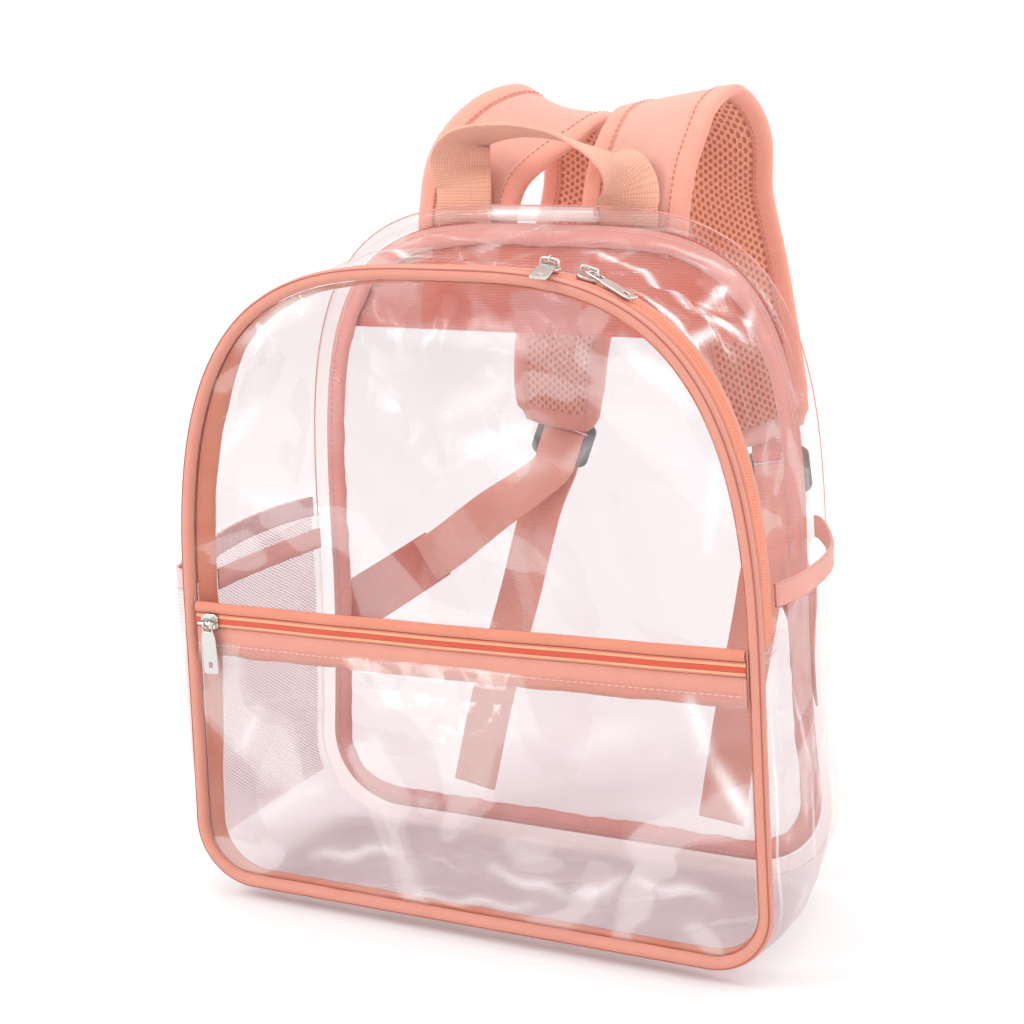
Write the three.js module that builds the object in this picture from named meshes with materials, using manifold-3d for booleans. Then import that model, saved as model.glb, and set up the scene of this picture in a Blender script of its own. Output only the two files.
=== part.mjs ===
// A clear backpack with coral trim, in millimetres.
// X runs to the right when the front faces you, Y runs to the back, Z is up.
// The origin is on the ground, under the middle of the bag.

import * as THREE from 'three';
import { mergeVertices } from 'three/addons/utils/BufferGeometryUtils.js';
import Module from 'manifold-3d';

const wasm = await Module();
wasm.setup();

// Sheets and joints between pieces
const wall = 1.0;
const gap = 0.3;
const tapeWall = 1.2;
const bagDepth = 126;
const frontY = -bagDepth / 2;
const backY = bagDepth / 2;
const layer = wall / 2 + gap;

// The outline of the front seam and of the back seam
const archHeight = 205;
const flareHeight = 140;
const flarePower = 1.5;
const leanCentre = 160;
const frontLift = 10;
const backLift = 4.2;
const frontSeam = {
  width: 300, height: 312.5, lift: frontLift, arch: archHeight, corner: 29.5, power: 3.15,
  flare: 0.021, lean: -0.018, shift: 0,
};
const backSeam = {
  width: 284, height: 334, lift: backLift, arch: archHeight, corner: 47, power: 3.7,
  flare: 0.07, lean: -0.018, shift: -6,
};

// Steps along each stretch of an outline
const archSteps = 24;
const sideSteps = 3;
const cornerSteps = 4;
const bottomSteps = 6;
const ringSteps = archSteps + 2 * sideSteps + 2 * cornerSteps + bottomSteps;
const fineStep = 0.01;

// Beads, tapes and zips
const pipingRadius = 3.3;
const backBeadRadius = 3.9;
const bindingWidth = 10;
const beadTapeWidth = 6.2;
const beadTapeHeight = 2.6;
const beadTapeEdge = 0.6;
const shoulder = 0.3;
const zipLine = 1.2;
const coilWidth = 6;
const coilHeight = 1.6;
const coilEdge = 0.7;
const tapeEdgeWidth = 7;
const zipEndHeight = 160;
const hemWidth = 9;

// Panels
const frontBow = 3;
const bottomDroop = 12;
const sideBulge = 3;
const topSag = 3;
const discShares = [1, 0.78, 0.52, 0.26];

// The zip across the front and the pocket under it
const pocketZipTop = 158.5;
const pocketZipSlope = 0.02;
const weltWidth = 5.4;
const weltHeight = 2.6;
const weltEdge = 1.2;
const pocketCoilWidth = 6.8;
const pocketTapeWidth = 14;
const pocketLap = 7;
const lapFold = 1;
const pocketBulge = 8;

// Side pockets
const sidePocketFoot = 24;
const sidePocketBand = 11;
const sidePocketBulge = 15;
const sidePocketInset = 5;
const sidePocketBandWall = 1.8;
const netPocket = { top: 177, front: 3.8, rise: 0.12, fall: 0.7, lift: 0.3 };
const clearPocket = { top: 189, front: 27, rise: 0.7, fall: 0.7, lift: 0.8 };
const pocketShares = [0, 0.02, 0.06, 0.14, 0.27, 0.43, 0.6, 0.76, 0.9, 1];
const zipLap = 2.2;
const zipLapRise = 8;

// Yoke, straps, handle and webbing
const yokeFoot = 277;
const backOffset = 2;
const padWall = 4.2;
const padBack = 2.2;
const meshBack = -2;
const strapReach = 80;
const strapSteps = 27;
const strapHalfWidth = 28.5;
const webHalfWidth = 12.5;
const webWall = 1.4;
const webSteps = 48;
const handleHalfWidth = 15.5;
const handleWall = 1.5;
const handleLegX = 46;
const handleForward = 8;
const handleTurn = 7;
const handleCrossX = 15;
const handleSteps = 40;
const tabHalfWidth = 13.5;
const tabHeight = 113;
const tabSpread = 4;
const tabSag = -9;
const tabLap = 8;
const loopSteps = 18;
const loopReach = 5.2;

// Strap adjusters
const lockWidth = 35;
const lockHeight = 25;
const lockWall = 3.4;
const lockBar = 3.4;
const lockTopSlot = 5.8;
const lockCut = 3;
const slotSlack = 1.6;

// Zip sliders and pullers
const sliderLength = 10;
const sliderWidth = 8;
const sliderTop = 3.8;
const bridgeHeight = 4.6;
const bridgeBar = 1.5;
const bridgePost = 1.4;
const pullerLength = 27;
const pullerWidth = 8.5;
const pullerWall = 1.2;
const pullerNeck = 6;
const pullerBehind = 0.65;
const pullerDrop = 1.3;
const pullerRest = 0.4;
const pullerRim = 1.3;
const pullerCut = 1;
const pullerEye = 4.6;
const pullerLongEye = 3;
const pullerSlot = 3.2;
const pullerSlotWidth = 2.2;
const pullerSlotPlace = 3;
const sliderReachA = 50;
const sliderReachB = 69;
const pocketSliderInset = 14;
const pullerTurnA = 0.18;
const pullerTurnB = 1.35;

const coral = 0xf2a58e;
const group = new THREE.Group();

function finish(name, geometry, color, roughness, metalness, opacity) {
  const material = new THREE.MeshStandardMaterial({ color, roughness, metalness });
  if (opacity < 1) {
    material.transparent = true;
    material.opacity = opacity;
  }
  const mesh = new THREE.Mesh(geometry, material);
  mesh.name = name;
  group.add(mesh);
  return mesh;
}

const clear = (name, geometry) => finish(name, geometry, 0xf3e6e6, 0.1, 0, 0.35);
const fabric = (name, geometry, color = coral) => finish(name, geometry, color, 0.85, 0, 1);
const nickel = (name, geometry) => finish(name, geometry, 0xb9b6b0, 0.25, 1, 1);

// Small helpers for points and closed sheets

const mix = (a, b, t) => a + (b - a) * t;
const clamp = (v, low, high) => Math.min(Math.max(v, low), high);
const steps = (from, to, count) => Array.from({ length: count + 1 }, (_, i) => mix(from, to, i / count));
const vec = (p) => new THREE.Vector3(p[0], p[1], p[2]);

function closedGeometry(points, faces) {
  let volume = 0;
  for (const [a, b, c] of faces) {
    volume += vec(points[a]).dot(vec(points[b]).cross(vec(points[c])));
  }
  const index = faces.flatMap(([a, b, c]) => (volume > 0 ? [a, b, c] : [a, c, b]));
  const geometry = new THREE.BufferGeometry();
  geometry.setAttribute('position', new THREE.Float32BufferAttribute(points.flat(), 3));
  geometry.setIndex(index);
  return geometry;
}

// A sheet with two faces: at(i, j, side) gives a point, side 0 inside and side 1 outside
function slab(rowCount, colCount, at, closed = false) {
  const points = [];
  for (let i = 0; i < rowCount; i++) {
    for (let j = 0; j < colCount; j++) {
      points.push(at(i, j, 0), at(i, j, 1));
    }
  }
  const id = (i, j, side) => ((i % rowCount) * colCount + j) * 2 + side;
  const faces = [];
  const quad = (a, b, c, d) => faces.push([a, b, c], [a, c, d]);
  const last = colCount - 1;
  for (let i = 0; i < (closed ? rowCount : rowCount - 1); i++) {
    for (let j = 0; j < last; j++) {
      quad(id(i, j, 1), id(i + 1, j, 1), id(i + 1, j + 1, 1), id(i, j + 1, 1));
      quad(id(i, j, 0), id(i, j + 1, 0), id(i + 1, j + 1, 0), id(i + 1, j, 0));
    }
    quad(id(i, 0, 0), id(i + 1, 0, 0), id(i + 1, 0, 1), id(i, 0, 1));
    quad(id(i, last, 1), id(i + 1, last, 1), id(i + 1, last, 0), id(i, last, 0));
  }
  for (let j = 0; j < last && !closed; j++) {
    quad(id(0, j, 0), id(0, j, 1), id(0, j + 1, 1), id(0, j + 1, 0));
    const end = rowCount - 1;
    quad(id(end, j, 1), id(end, j, 0), id(end, j + 1, 0), id(end, j + 1, 1));
  }
  return closedGeometry(points, faces);
}

// Outlines: a superellipse arch on straight sides with round bottom corners

function inset(seam, distance) {
  return {
    ...seam,
    width: seam.width - 2 * distance,
    height: seam.height - 2 * distance,
    lift: seam.lift + distance,
    arch: seam.arch - distance,
    corner: seam.corner - distance,
  };
}

function settle(seam, x, z) {
  const low = clamp(1 - (z - seam.lift) / flareHeight, 0, 1);
  return [x * (1 + seam.flare * low ** flarePower) + seam.lean * (z - leanCentre) + seam.shift, z];
}

// Half of the width at a height, before the flare and the lean
function halfWidth(seam, z) {
  const spring = seam.lift + seam.height - seam.arch;
  if (z >= spring) {
    const rise = clamp((z - spring) / seam.arch, 0, 1);
    return (seam.width / 2) * (1 - rise ** seam.power) ** (1 / seam.power);
  }
  const drop = clamp((seam.lift + seam.corner - z) / seam.corner, 0, 1);
  return seam.width / 2 - seam.corner * (1 - Math.sqrt(1 - drop * drop));
}

// Evenly spaced points of the arch, from the right spring over the top to the left spring
function archPoints(seam) {
  const fine = 400;
  const spring = seam.lift + seam.height - seam.arch;
  const curve = steps(0, Math.PI, fine).map((angle) => {
    const c = Math.cos(angle);
    const s = Math.sin(angle);
    const x = (seam.width / 2) * Math.sign(c) * Math.abs(c) ** (2 / seam.power);
    return [x, spring + seam.arch * Math.abs(s) ** (2 / seam.power)];
  });
  const run = [0];
  for (let i = 1; i <= fine; i++) {
    run.push(run[i - 1] + Math.hypot(curve[i][0] - curve[i - 1][0], curve[i][1] - curve[i - 1][1]));
  }
  return steps(0, run[fine], archSteps).map((length) => {
    const i = clamp(run.findIndex((r) => r >= length), 1, fine);
    const t = (length - run[i - 1]) / (run[i] - run[i - 1]);
    return [mix(curve[i - 1][0], curve[i][0], t), mix(curve[i - 1][1], curve[i][1], t)];
  });
}

function outline(seam) {
  const half = seam.width / 2;
  const spring = seam.lift + seam.height - seam.arch;
  const bend = seam.lift + seam.corner;
  const corner = (side, from, to) => steps(from, to, cornerSteps).map((angle) => [
    side * (half - seam.corner) + seam.corner * Math.cos(angle),
    bend + seam.corner * Math.sin(angle),
  ]);
  const flat = half - seam.corner;
  const points = [
    ...archPoints(seam),
    ...steps(spring, bend, sideSteps).slice(1).map((z) => [-half, z]),
    ...corner(-1, Math.PI, 1.5 * Math.PI).slice(1),
    ...steps(-flat, flat, bottomSteps).slice(1).map((x) => [x, seam.lift]),
    ...corner(1, 1.5 * Math.PI, 2 * Math.PI).slice(1),
    ...steps(bend, spring, sideSteps).slice(1, -1).map((z) => [half, z]),
  ];
  return points.map(([x, z]) => settle(seam, x, z));
}

const frontRing = outline(frontSeam);
const backRing = outline(backSeam);

// A place on a ring between its points, with k counted in points
function ringPoint(ring, k) {
  const count = ring.length;
  const i = Math.floor(k);
  const t = k - i;
  const a = ring[((i % count) + count) % count];
  const b = ring[(((i + 1) % count) + count) % count];
  return [mix(a[0], b[0], t), mix(a[1], b[1], t)];
}

function ringNormal(ring, k) {
  const [ax, az] = ringPoint(ring, k - 0.5);
  const [bx, bz] = ringPoint(ring, k + 0.5);
  const length = Math.hypot(bx - ax, bz - az);
  return [(bz - az) / length, -(bx - ax) / length];
}

// The surface between the two seams: its place and outward direction at depth y
function gusset(k, y) {
  const t = (y - frontY) / bagDepth;
  const [fx, fz] = ringPoint(frontRing, k);
  const [bx, bz] = ringPoint(backRing, k);
  const [fnx, fnz] = ringNormal(frontRing, k);
  const [bnx, bnz] = ringNormal(backRing, k);
  const length = Math.hypot(mix(fnx, bnx, t), mix(fnz, bnz, t));
  const nx = mix(fnx, bnx, t) / length;
  const nz = mix(fnz, bnz, t) / length;
  const lowShare = clamp(-nz, 0, 1);
  const topShare = clamp(nz, 0, 1);
  const bulge = mix(mix(sideBulge, bottomDroop, lowShare), -topSag, topShare);
  const swell = bulge * 4 * t * (1 - t);
  const x = mix(fx, bx, t) + nx * swell;
  const z = Math.max(mix(fz, bz, t) + nz * swell, wall / 2);
  return { x, z, nx, nz };
}

// A band along the seams: rows of [y, inside, outside] are offsets from the gusset's middle,
// and a fourth value is the depth of the seam that the row keeps to
function band(places, rows, closed = false, shape = (k, y, offset) => offset) {
  return slab(places.length, rows.length, (i, j, side) => {
    const [y, inside, outside, seamY = y] = rows[j];
    const { x, z, nx, nz } = gusset(places[i], seamY);
    const offset = shape(places[i], y, side ? outside : inside);
    return [x + nx * offset, y, z + nz * offset];
  }, closed);
}

const wholeRing = steps(0, ringSteps - 1, ringSteps - 1);
const roundRows = (centre, radius) => {
  const flat = radius * Math.tan(Math.PI / 8);
  return [
    [centre - radius, -flat, flat, centre],
    [centre - flat, -radius, radius, centre],
    [centre + flat, -radius, radius, centre],
    [centre + radius, -flat, flat, centre],
  ];
};


// Where the front seam reaches a height, counted in points from the right spring
function archPlace(height) {
  let k = 0;
  while (ringPoint(frontRing, k)[1] < height) k += fineStep;
  return k;
}

const zipEnd = archPlace(zipEndHeight);
const pointLength = Math.hypot(frontRing[1][0] - frontRing[0][0], frontRing[1][1] - frontRing[0][1]);
const archPlaces = (trim) => steps(zipEnd + trim, archSteps - zipEnd - trim, archSteps - 2);
const halfGap = gap / 2 / pointLength;

// Front seam, back seam and their bindings

function seams() {
  fabric('front_piping', band(wholeRing, roundRows(frontY, pipingRadius), true), 0xe9957c);
  clear('rear_piping', band(wholeRing, roundRows(backY, backBeadRadius), true));
  const slant = bindingWidth * Math.SQRT1_2;
  const frontStart = -pipingRadius - gap - wall;
  fabric('front_binding', band(wholeRing, [
    [frontY + layer, frontStart - tapeWall, frontStart],
    [frontY + layer + slant, frontStart - tapeWall - slant, frontStart - slant],
  ], true), 0xe08c6a);
  const backStart = -backBeadRadius - gap - wall;
  const backTape = backY - layer;
  fabric('rear_binding', band(wholeRing, [
    [backTape - tapeWall, backStart - bindingWidth, backStart],
    [backTape, backStart - bindingWidth, backStart],
  ], true), 0xe39a88);
}

// The main zip over the arch, and the clear sheets behind and below it

function gussetRows(from, to, count) {
  return steps(from, to, count).map((y) => [y, -wall / 2, wall / 2]);
}

function mainZip() {
  const beadStart = frontY + pipingRadius + gap;
  const beadEnd = beadStart + beadTapeWidth;
  const coilStart = beadEnd + zipLine;
  const coilEnd = coilStart + coilWidth;
  const tapeEnd = coilEnd + gap + tapeEdgeWidth;
  const inside = -tapeWall;
  const places = archPlaces(halfGap);
  fabric('zip_tape_front', band(places, [
    [beadStart, inside, beadTapeEdge],
    [beadStart + beadTapeWidth * shoulder, inside, beadTapeHeight],
    [beadEnd - beadTapeWidth * shoulder, inside, beadTapeHeight],
    [beadEnd, inside, beadTapeEdge],
    [coilStart - gap, inside, 0],
  ]), 0xe58a6c);
  fabric('zip_coil', band(places, [
    [coilStart, inside, coilEdge],
    [coilStart + coilWidth * shoulder, inside, coilHeight],
    [coilEnd - coilWidth * shoulder, inside, coilHeight],
    [coilEnd, inside, coilEdge],
  ]), 0xf9a070);
  fabric('zip_tape_back', band(places, [
    [coilEnd + gap, inside, 0],
    [tapeEnd, inside, 0],
  ]), 0xe58a6c);
  clear('gusset_top', band(places, gussetRows(tapeEnd + gap, backY - backBeadRadius - gap, 4)));
  const hemReach = hemWidth / pointLength;
  const hem = (name, from) => clear(name, band(steps(from, from + hemReach, 2), [
    [beadStart, layer, layer + wall],
    [tapeEnd, layer, layer + wall],
  ]));
  hem('zip_hem_right', zipEnd - hemReach);
  hem('zip_hem_left', archSteps - zipEnd);
  return { coilMiddle: (coilStart + coilEnd) / 2, back: tapeEnd };
}

function lowerGusset() {
  const start = archSteps - zipEnd + halfGap;
  const end = ringSteps + zipEnd - halfGap;
  const apart = 0.2;
  const inner = steps(0, ringSteps * 2, ringSteps * 2).filter((k) => k > start + apart && k < end - apart);
  const rows = gussetRows(frontY + pipingRadius + gap, backY - backBeadRadius - gap, 7);
  clear('gusset_bottom', band([start, ...inner, end], rows));
}

// Front and back panels

function bow(seam, x, z) {
  const across = x / Math.max(halfWidth(seam, z), 1);
  const middle = seam.lift + seam.height / 2;
  const up = (z - middle) / (seam.height / 2);
  return (1 - clamp(across * across, 0, 1)) * (1 - clamp(up * up, 0, 1));
}

function disc(seam, rimInset, face) {
  const small = inset({ ...seam, flare: 0, lean: 0, shift: 0 }, rimInset);
  const rim = outline(small);
  const middle = seam.lift + seam.height / 2;
  const points = [];
  const put = (x, z, side) => {
    const [px, pz] = settle(seam, x, z);
    points.push([px, face(x, z, side), pz]);
  };
  for (const share of discShares) {
    for (const [x, z] of rim) {
      put(x * share, middle + (z - middle) * share, 0);
      put(x * share, middle + (z - middle) * share, 1);
    }
  }
  put(0, middle, 0);
  put(0, middle, 1);
  const count = rim.length;
  const id = (ring, k, side) => (ring * count + (k % count)) * 2 + side;
  const centre = (side) => discShares.length * count * 2 + side;
  const faces = [];
  for (let k = 0; k < count; k++) {
    for (let ring = 0; ring < discShares.length - 1; ring++) {
      const a = id(ring, k, 1);
      const b = id(ring, k + 1, 1);
      const c = id(ring + 1, k + 1, 1);
      const d = id(ring + 1, k, 1);
      faces.push([a, b, c], [a, c, d], [c - 1, b - 1, a - 1], [d - 1, c - 1, a - 1]);
    }
    const ring = discShares.length - 1;
    faces.push([id(ring, k, 1), id(ring, k + 1, 1), centre(1)]);
    faces.push([id(ring, k + 1, 0), id(ring, k, 0), centre(0)]);
    faces.push([id(0, k, 0), id(0, k + 1, 0), id(0, k + 1, 1)]);
    faces.push([id(0, k, 0), id(0, k + 1, 1), id(0, k, 1)]);
  }
  return closedGeometry(points, faces);
}

const frontFace = (x, z) => frontY - frontBow * bow(frontSeam, x, z);

function panels() {
  clear('front_panel', disc(frontSeam, pipingRadius + gap, (x, z, side) => (
    frontFace(x, z) + (side ? -wall / 2 : wall / 2)
  )));
  clear('back_panel', disc(backSeam, backBeadRadius + gap, (x, z, side) => (
    backY + (side ? wall / 2 : -wall / 2)
  )));
}

// A piece that fills the seam's outline from one height to another
function patch(seam, rimInset, heights, colCount, face, slope = () => 0) {
  const small = inset(seam, rimInset);
  return slab(heights.length, colCount, (i, j, side) => {
    const half = halfWidth(small, heights[i]);
    const x = mix(-half, half, j / (colCount - 1));
    const z = heights[i] + slope(heights[i]) * x;
    const [px, pz] = settle(seam, x, z);
    return [px, face(x, z, side, i, heights[i]), pz];
  });
}

function yoke() {
  const top = backSeam.lift + backSeam.height - backBeadRadius - gap - wall;
  const near = backY + layer;
  const heights = [0, 0.4, 0.75, 0.93, 1].map((share) => mix(yokeFoot, top, share));
  const colCount = 9;
  fabric('back_yoke', patch(backSeam, backBeadRadius + gap, heights, colCount, (x, z, side) => (
    side ? near + tapeWall : near
  )), 0xf08f78);
}

function pocketZip() {
  const rimInset = pipingRadius + gap + wall;
  const colCount = 13;
  const strip = (name, table, color) => fabric(name, patch(
    frontSeam, rimInset, table.map(([height]) => height), colCount,
    (x, z, side, row) => frontFace(x, z) - table[row][side + 1],
    () => pocketZipSlope,
  ), color);
  const weltFoot = pocketZipTop - weltWidth;
  const coilTop = weltFoot - gap;
  const coilFoot = coilTop - pocketCoilWidth;
  const tapeTop = coilFoot - gap;
  const tapeFoot = tapeTop - pocketTapeWidth;
  strip('pocket_zip_welt', [
    [weltFoot, layer, layer + weltEdge],
    [weltFoot + weltWidth * shoulder, layer, layer + weltHeight],
    [pocketZipTop - weltWidth * shoulder, layer, layer + weltHeight],
    [pocketZipTop, layer, layer + weltEdge],
  ], 0xf2a58e);
  strip('pocket_zip_coil', [
    [coilFoot, layer, layer + coilEdge],
    [coilFoot + pocketCoilWidth * shoulder, layer, layer + coilHeight],
    [coilTop - pocketCoilWidth * shoulder, layer, layer + coilHeight],
    [coilTop, layer, layer + coilEdge],
  ], 0xf9a070);
  strip('pocket_zip_tape', [
    [tapeFoot, layer, layer + wall],
    [tapeTop, layer, layer + wall],
  ], 0xf2a083);
  const sheetFoot = frontSeam.lift + rimInset + wall;
  const sheetTop = tapeTop - pocketLap;
  const lapStart = tapeFoot - pocketLap;
  const share = (height) => clamp((height - sheetFoot) / (sheetTop - sheetFoot), 0, 1);
  const heights = [
    ...[0, 0.04, 0.1, 0.2, 0.4, 0.6, 0.8, 1].map((t) => mix(sheetFoot, lapStart, t)),
    tapeFoot - lapFold,
    sheetTop,
  ];
  clear('front_pocket', patch(frontSeam, rimInset, heights, colCount, (x, z, side, row, height) => {
    const lap = clamp((height - lapStart) / (pocketLap - lapFold), 0, 1) * (wall + gap);
    const across = clamp(1 - (x / halfWidth(inset(frontSeam, rimInset), height)) ** 2, 0, 1);
    const up = Math.sin(Math.PI * share(height));
    const swell = pocketBulge * across ** 0.5 * up ** 0.8;
    return frontFace(x, z) - layer - lap - swell - (side ? wall : 0);
  }, (height) => pocketZipSlope * share(height)));
  return { coilMiddle: (coilTop + coilFoot) / 2, coilFace: layer + coilHeight };
}

// Side pockets on the lower gusset: the left one is net, the right one is clear

function sidePlaces(side, low, high) {
  const find = (height) => {
    let k = side > 0 ? ringSteps - sideSteps - cornerSteps : archSteps + sideSteps + cornerSteps;
    while (gusset(k, 0).z < height) k += side * fineStep;
    return k;
  };
  const start = find(low);
  const end = find(high);
  const apart = 0.15;
  const between = steps(0, ringSteps * 2, ringSteps * 2)
    .filter((k) => (k - start) * side > apart && (end - k) * side > apart);
  return [start, ...(side > 0 ? between : between.reverse()), end];
}

function sidePocket(side, pocket) {
  const first = frontY + pocket.front;
  const last = backY - backBeadRadius - sidePocketInset;
  const rows = pocketShares.map((share) => mix(first, last, share));
  const hemFoot = zipEndHeight - hemWidth;
  const swell = (k, y) => {
    const z = gusset(k, 0).z;
    const height = clamp((z - sidePocketFoot) / (pocket.top - sidePocketFoot), 0, 1);
    const across = clamp((y - first) / (last - first), 0, 1);
    const power = mix(pocket.rise, pocket.fall, across);
    const bulge = sidePocketBulge * Math.sin(Math.PI * across) ** power * height ** pocket.lift;
    const overZip = y < mainZipPlaces.back ? zipLap * clamp((z - hemFoot) / zipLapRise + 1, 0, 1) : 0;
    return Math.max(bulge, overZip);
  };
  const shape = (k, y, offset) => offset + swell(k, y);
  const edge = pocket.top - sidePocketBand;
  const body = band(sidePlaces(side, sidePocketFoot, edge),
    rows.map((y) => [y, layer, layer + wall]), false, shape);
  const trim = band(sidePlaces(side, edge + gap, pocket.top),
    rows.map((y) => [y, layer, layer + sidePocketBandWall]), false, shape);
  return { body, trim };
}

function sidePockets() {
  const net = sidePocket(-1, netPocket);
  fabric('side_pocket_mesh', net.body, 0xf3d9d6);
  fabric('side_pocket_mesh_band', net.trim, 0xe7a398);
  const plain = sidePocket(1, clearPocket);
  clear('side_pocket_clear', plain.body);
  fabric('side_pocket_clear_band', plain.trim, 0xe7a398);
}

// Ribbons: straps, handle and webbing follow stations of
// [x, y, z, side x, side y, side z, half width]

function ribbonFrames(stations, count, from = 0, to = 1) {
  const curve = new THREE.CatmullRomCurve3(stations.map(vec), false, 'centripetal');
  return steps(from, to, count).map((t) => {
    const place = t * (stations.length - 1);
    const i = Math.min(Math.floor(place), stations.length - 2);
    const f = place - i;
    const tangent = curve.getTangent(t);
    const blend = (n) => mix(stations[i][n], stations[i + 1][n], f);
    const side = new THREE.Vector3(blend(3), blend(4), blend(5));
    side.addScaledVector(tangent, -side.dot(tangent)).normalize();
    const out = side.clone().cross(tangent);
    return { point: curve.getPoint(t), side, out, half: blend(6) };
  });
}

// Columns of [share of the half width, inside, outside]
function ribbon(frames, columns) {
  return slab(frames.length, columns.length, (i, j, face) => {
    const { point, side, out, half } = frames[i];
    const [share, inside, outside] = columns[j];
    const p = point.clone().addScaledVector(side, share * half);
    p.addScaledVector(out, face ? outside : inside);
    return [p.x, p.y, p.z];
  });
}

const flatColumns = (thickness) => [[-1, 0, thickness], [1, 0, thickness]];

// Places behind the back panel: right of the back's own middle line as shares of half its width,
// behind it as shares of the straps' reach, and up as shares of the back's top
const backHalf = backSeam.width / 2;
const backTop = backSeam.lift + backSeam.height;
const backMiddle = backSeam.shift + backSeam.lean * (backSeam.height - leanCentre) - backOffset;
const strapFace = backY + layer + tapeWall + gap;
const strapRoot = strapFace + handleWall + gap + padWall;

const strapStations = {
  left: [
    [-0.331, 0, 0.84, 1, 0, 0, 1],
    [-0.331, 0.013, 0.923, 1, 0, 0, 1],
    [-0.331, 0.05, 1.005, 1, 0, 0, 1],
    [-0.296, 0.125, 1.07, 0.97, 0.15, -0.12, 1],
    [-0.197, 0.325, 1.121, 0.93, 0.3, -0.2, 1],
    [-0.085, 0.6, 1.135, 0.9, 0.35, -0.24, 1],
    [-0.042, 0.85, 1.103, 0.92, 0.33, -0.2, 1],
    [-0.056, 0.963, 1.023, 0.95, 0.25, -0.1, 1],
    [-0.134, 0.95, 0.896, 0.99, 0.12, 0, 1],
    [-0.19, 0.887, 0.781, 1, 0, 0, 1],
    [-0.204, 0.863, 0.698, 1, 0, 0, 0.96],
    [-0.204, 0.85, 0.656, 1, 0, 0, 0.86],
    [-0.211, 0.844, 0.636, 1, 0, 0, 0.66],
  ],
  right: [
    [0.331, 0, 0.84, 1, 0, 0, 1],
    [0.331, 0.013, 0.923, 1, 0, 0, 1],
    [0.331, 0.05, 1.005, 1, 0.04, 0, 1],
    [0.345, 0.138, 1.076, 0.98, 0.08, 0.1, 1],
    [0.387, 0.338, 1.141, 0.97, 0.1, 0.17, 1],
    [0.423, 0.6, 1.153, 0.98, 0.08, 0.15, 1],
    [0.465, 0.825, 1.106, 0.99, 0.04, 0.1, 1],
    [0.454, 0.95, 1.011, 1, 0, 0.06, 1],
    [0.504, 1, 0.893, 1, 0, 0.1, 1],
    [0.556, 0.975, 0.781, 1, 0, 0.15, 1],
    [0.606, 0.925, 0.698, 1, 0, 0.15, 0.96],
    [0.641, 0.9, 0.656, 1, 0, 0.15, 0.86],
    [0.662, 0.894, 0.636, 1, 0, 0.15, 0.66],
  ],
};

const behind = ([x, y, z]) => [backMiddle + x * backHalf, strapRoot + y * strapReach, z * backTop];

const ribbonStations = (stations, half) => stations.map(([x, y, z, sx, sy, sz, share = 1]) => (
  [...behind([x, y, z]), sx, sy, sz, share * half]
));

function strap(side) {
  const frames = ribbonFrames(ribbonStations(strapStations[side], strapHalfWidth), strapSteps);
  const [rimBack, rimFace, tapeFace, tapeInner] = [-1.2, 1.4, 2.4, 3.2];
  fabric(`strap_${side}`, ribbon(frames, [
    [-1, rimBack, rimFace],
    [-0.95, -padBack, tapeFace],
    [-0.8, -padBack, tapeInner],
    [-0.78, 0, padWall],
    [0.78, 0, padWall],
    [0.8, -padBack, tapeInner],
    [0.95, -padBack, tapeFace],
    [1, rimBack, rimFace],
  ]), 0xf8b5a0);
  const meshWidth = 0.755;
  fabric(`strap_mesh_${side}`, ribbon(frames.slice(0, -2), [
    [-meshWidth, meshBack, -gap],
    [meshWidth, meshBack, -gap],
  ]), 0xf0957a);
}

// The adjuster's own axes: down the webbing, across it, and out of its face

function lockAxes(centre, down) {
  const along = vec(down).normalize();
  const across = new THREE.Vector3(1, 0, 0).addScaledVector(along, -along.x).normalize();
  const face = across.clone().cross(along).negate();
  return { centre: vec(centre), along, across, face };
}

function lockPoint(axes, across, along, face) {
  return axes.centre.clone().addScaledVector(axes.across, across)
    .addScaledVector(axes.along, along).addScaledVector(axes.face, face);
}

const slotWidth = 2 * webHalfWidth + slotSlack;
const middleBarTop = -lockHeight / 2 + lockBar + lockTopSlot;

const flatPoints = (points) => points.map(([x, y]) => new THREE.Vector2(x, y));

// A rectangular hole for a flat shape
function hole(x0, x1, y0, y1) {
  const path = new THREE.Path();
  path.setFromPoints(flatPoints([[x0, y0], [x0, y1], [x1, y1], [x1, y0]]));
  return path;
}

function ladderLock(side, axes) {
  const shape = new THREE.Shape();
  const halfW = lockWidth / 2;
  const halfH = lockHeight / 2;
  shape.setFromPoints(flatPoints([
    [-halfW + lockCut, -halfH],
    [halfW - lockCut, -halfH],
    [halfW, -halfH + lockCut],
    [halfW, halfH - lockCut],
    [halfW - lockCut, halfH],
    [-halfW + lockCut, halfH],
    [-halfW, halfH - lockCut],
    [-halfW, -halfH + lockCut],
  ]));
  const slot = (low, high) => hole(-slotWidth / 2, slotWidth / 2, low, high);
  shape.holes.push(slot(-halfH + lockBar, middleBarTop));
  shape.holes.push(slot(middleBarTop + lockBar, halfH - lockBar));
  const geometry = new THREE.ExtrudeGeometry(shape, { depth: lockWall, bevelEnabled: false });
  geometry.translate(0, 0, -lockWall / 2);
  const mesh = finish(`ladder_lock_${side}`, geometry, 0x6b6d72, 0.45, 0, 1);
  const turn = new THREE.Matrix4().makeBasis(axes.across, axes.along, axes.across.clone().cross(axes.along));
  turn.setPosition(axes.centre);
  mesh.applyMatrix4(turn);
}

// A place of the webbing on the adjuster: how far down it, and how far off its middle plane
const onLock = (axes) => (along, face) => {
  const p = lockPoint(axes, 0, along, face);
  return [p.x, p.y, p.z, axes.across.x, axes.across.y, axes.across.z, webHalfWidth];
};

// Webbing: from the tab up the front of the adjuster, over its middle bar, and down behind

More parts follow.
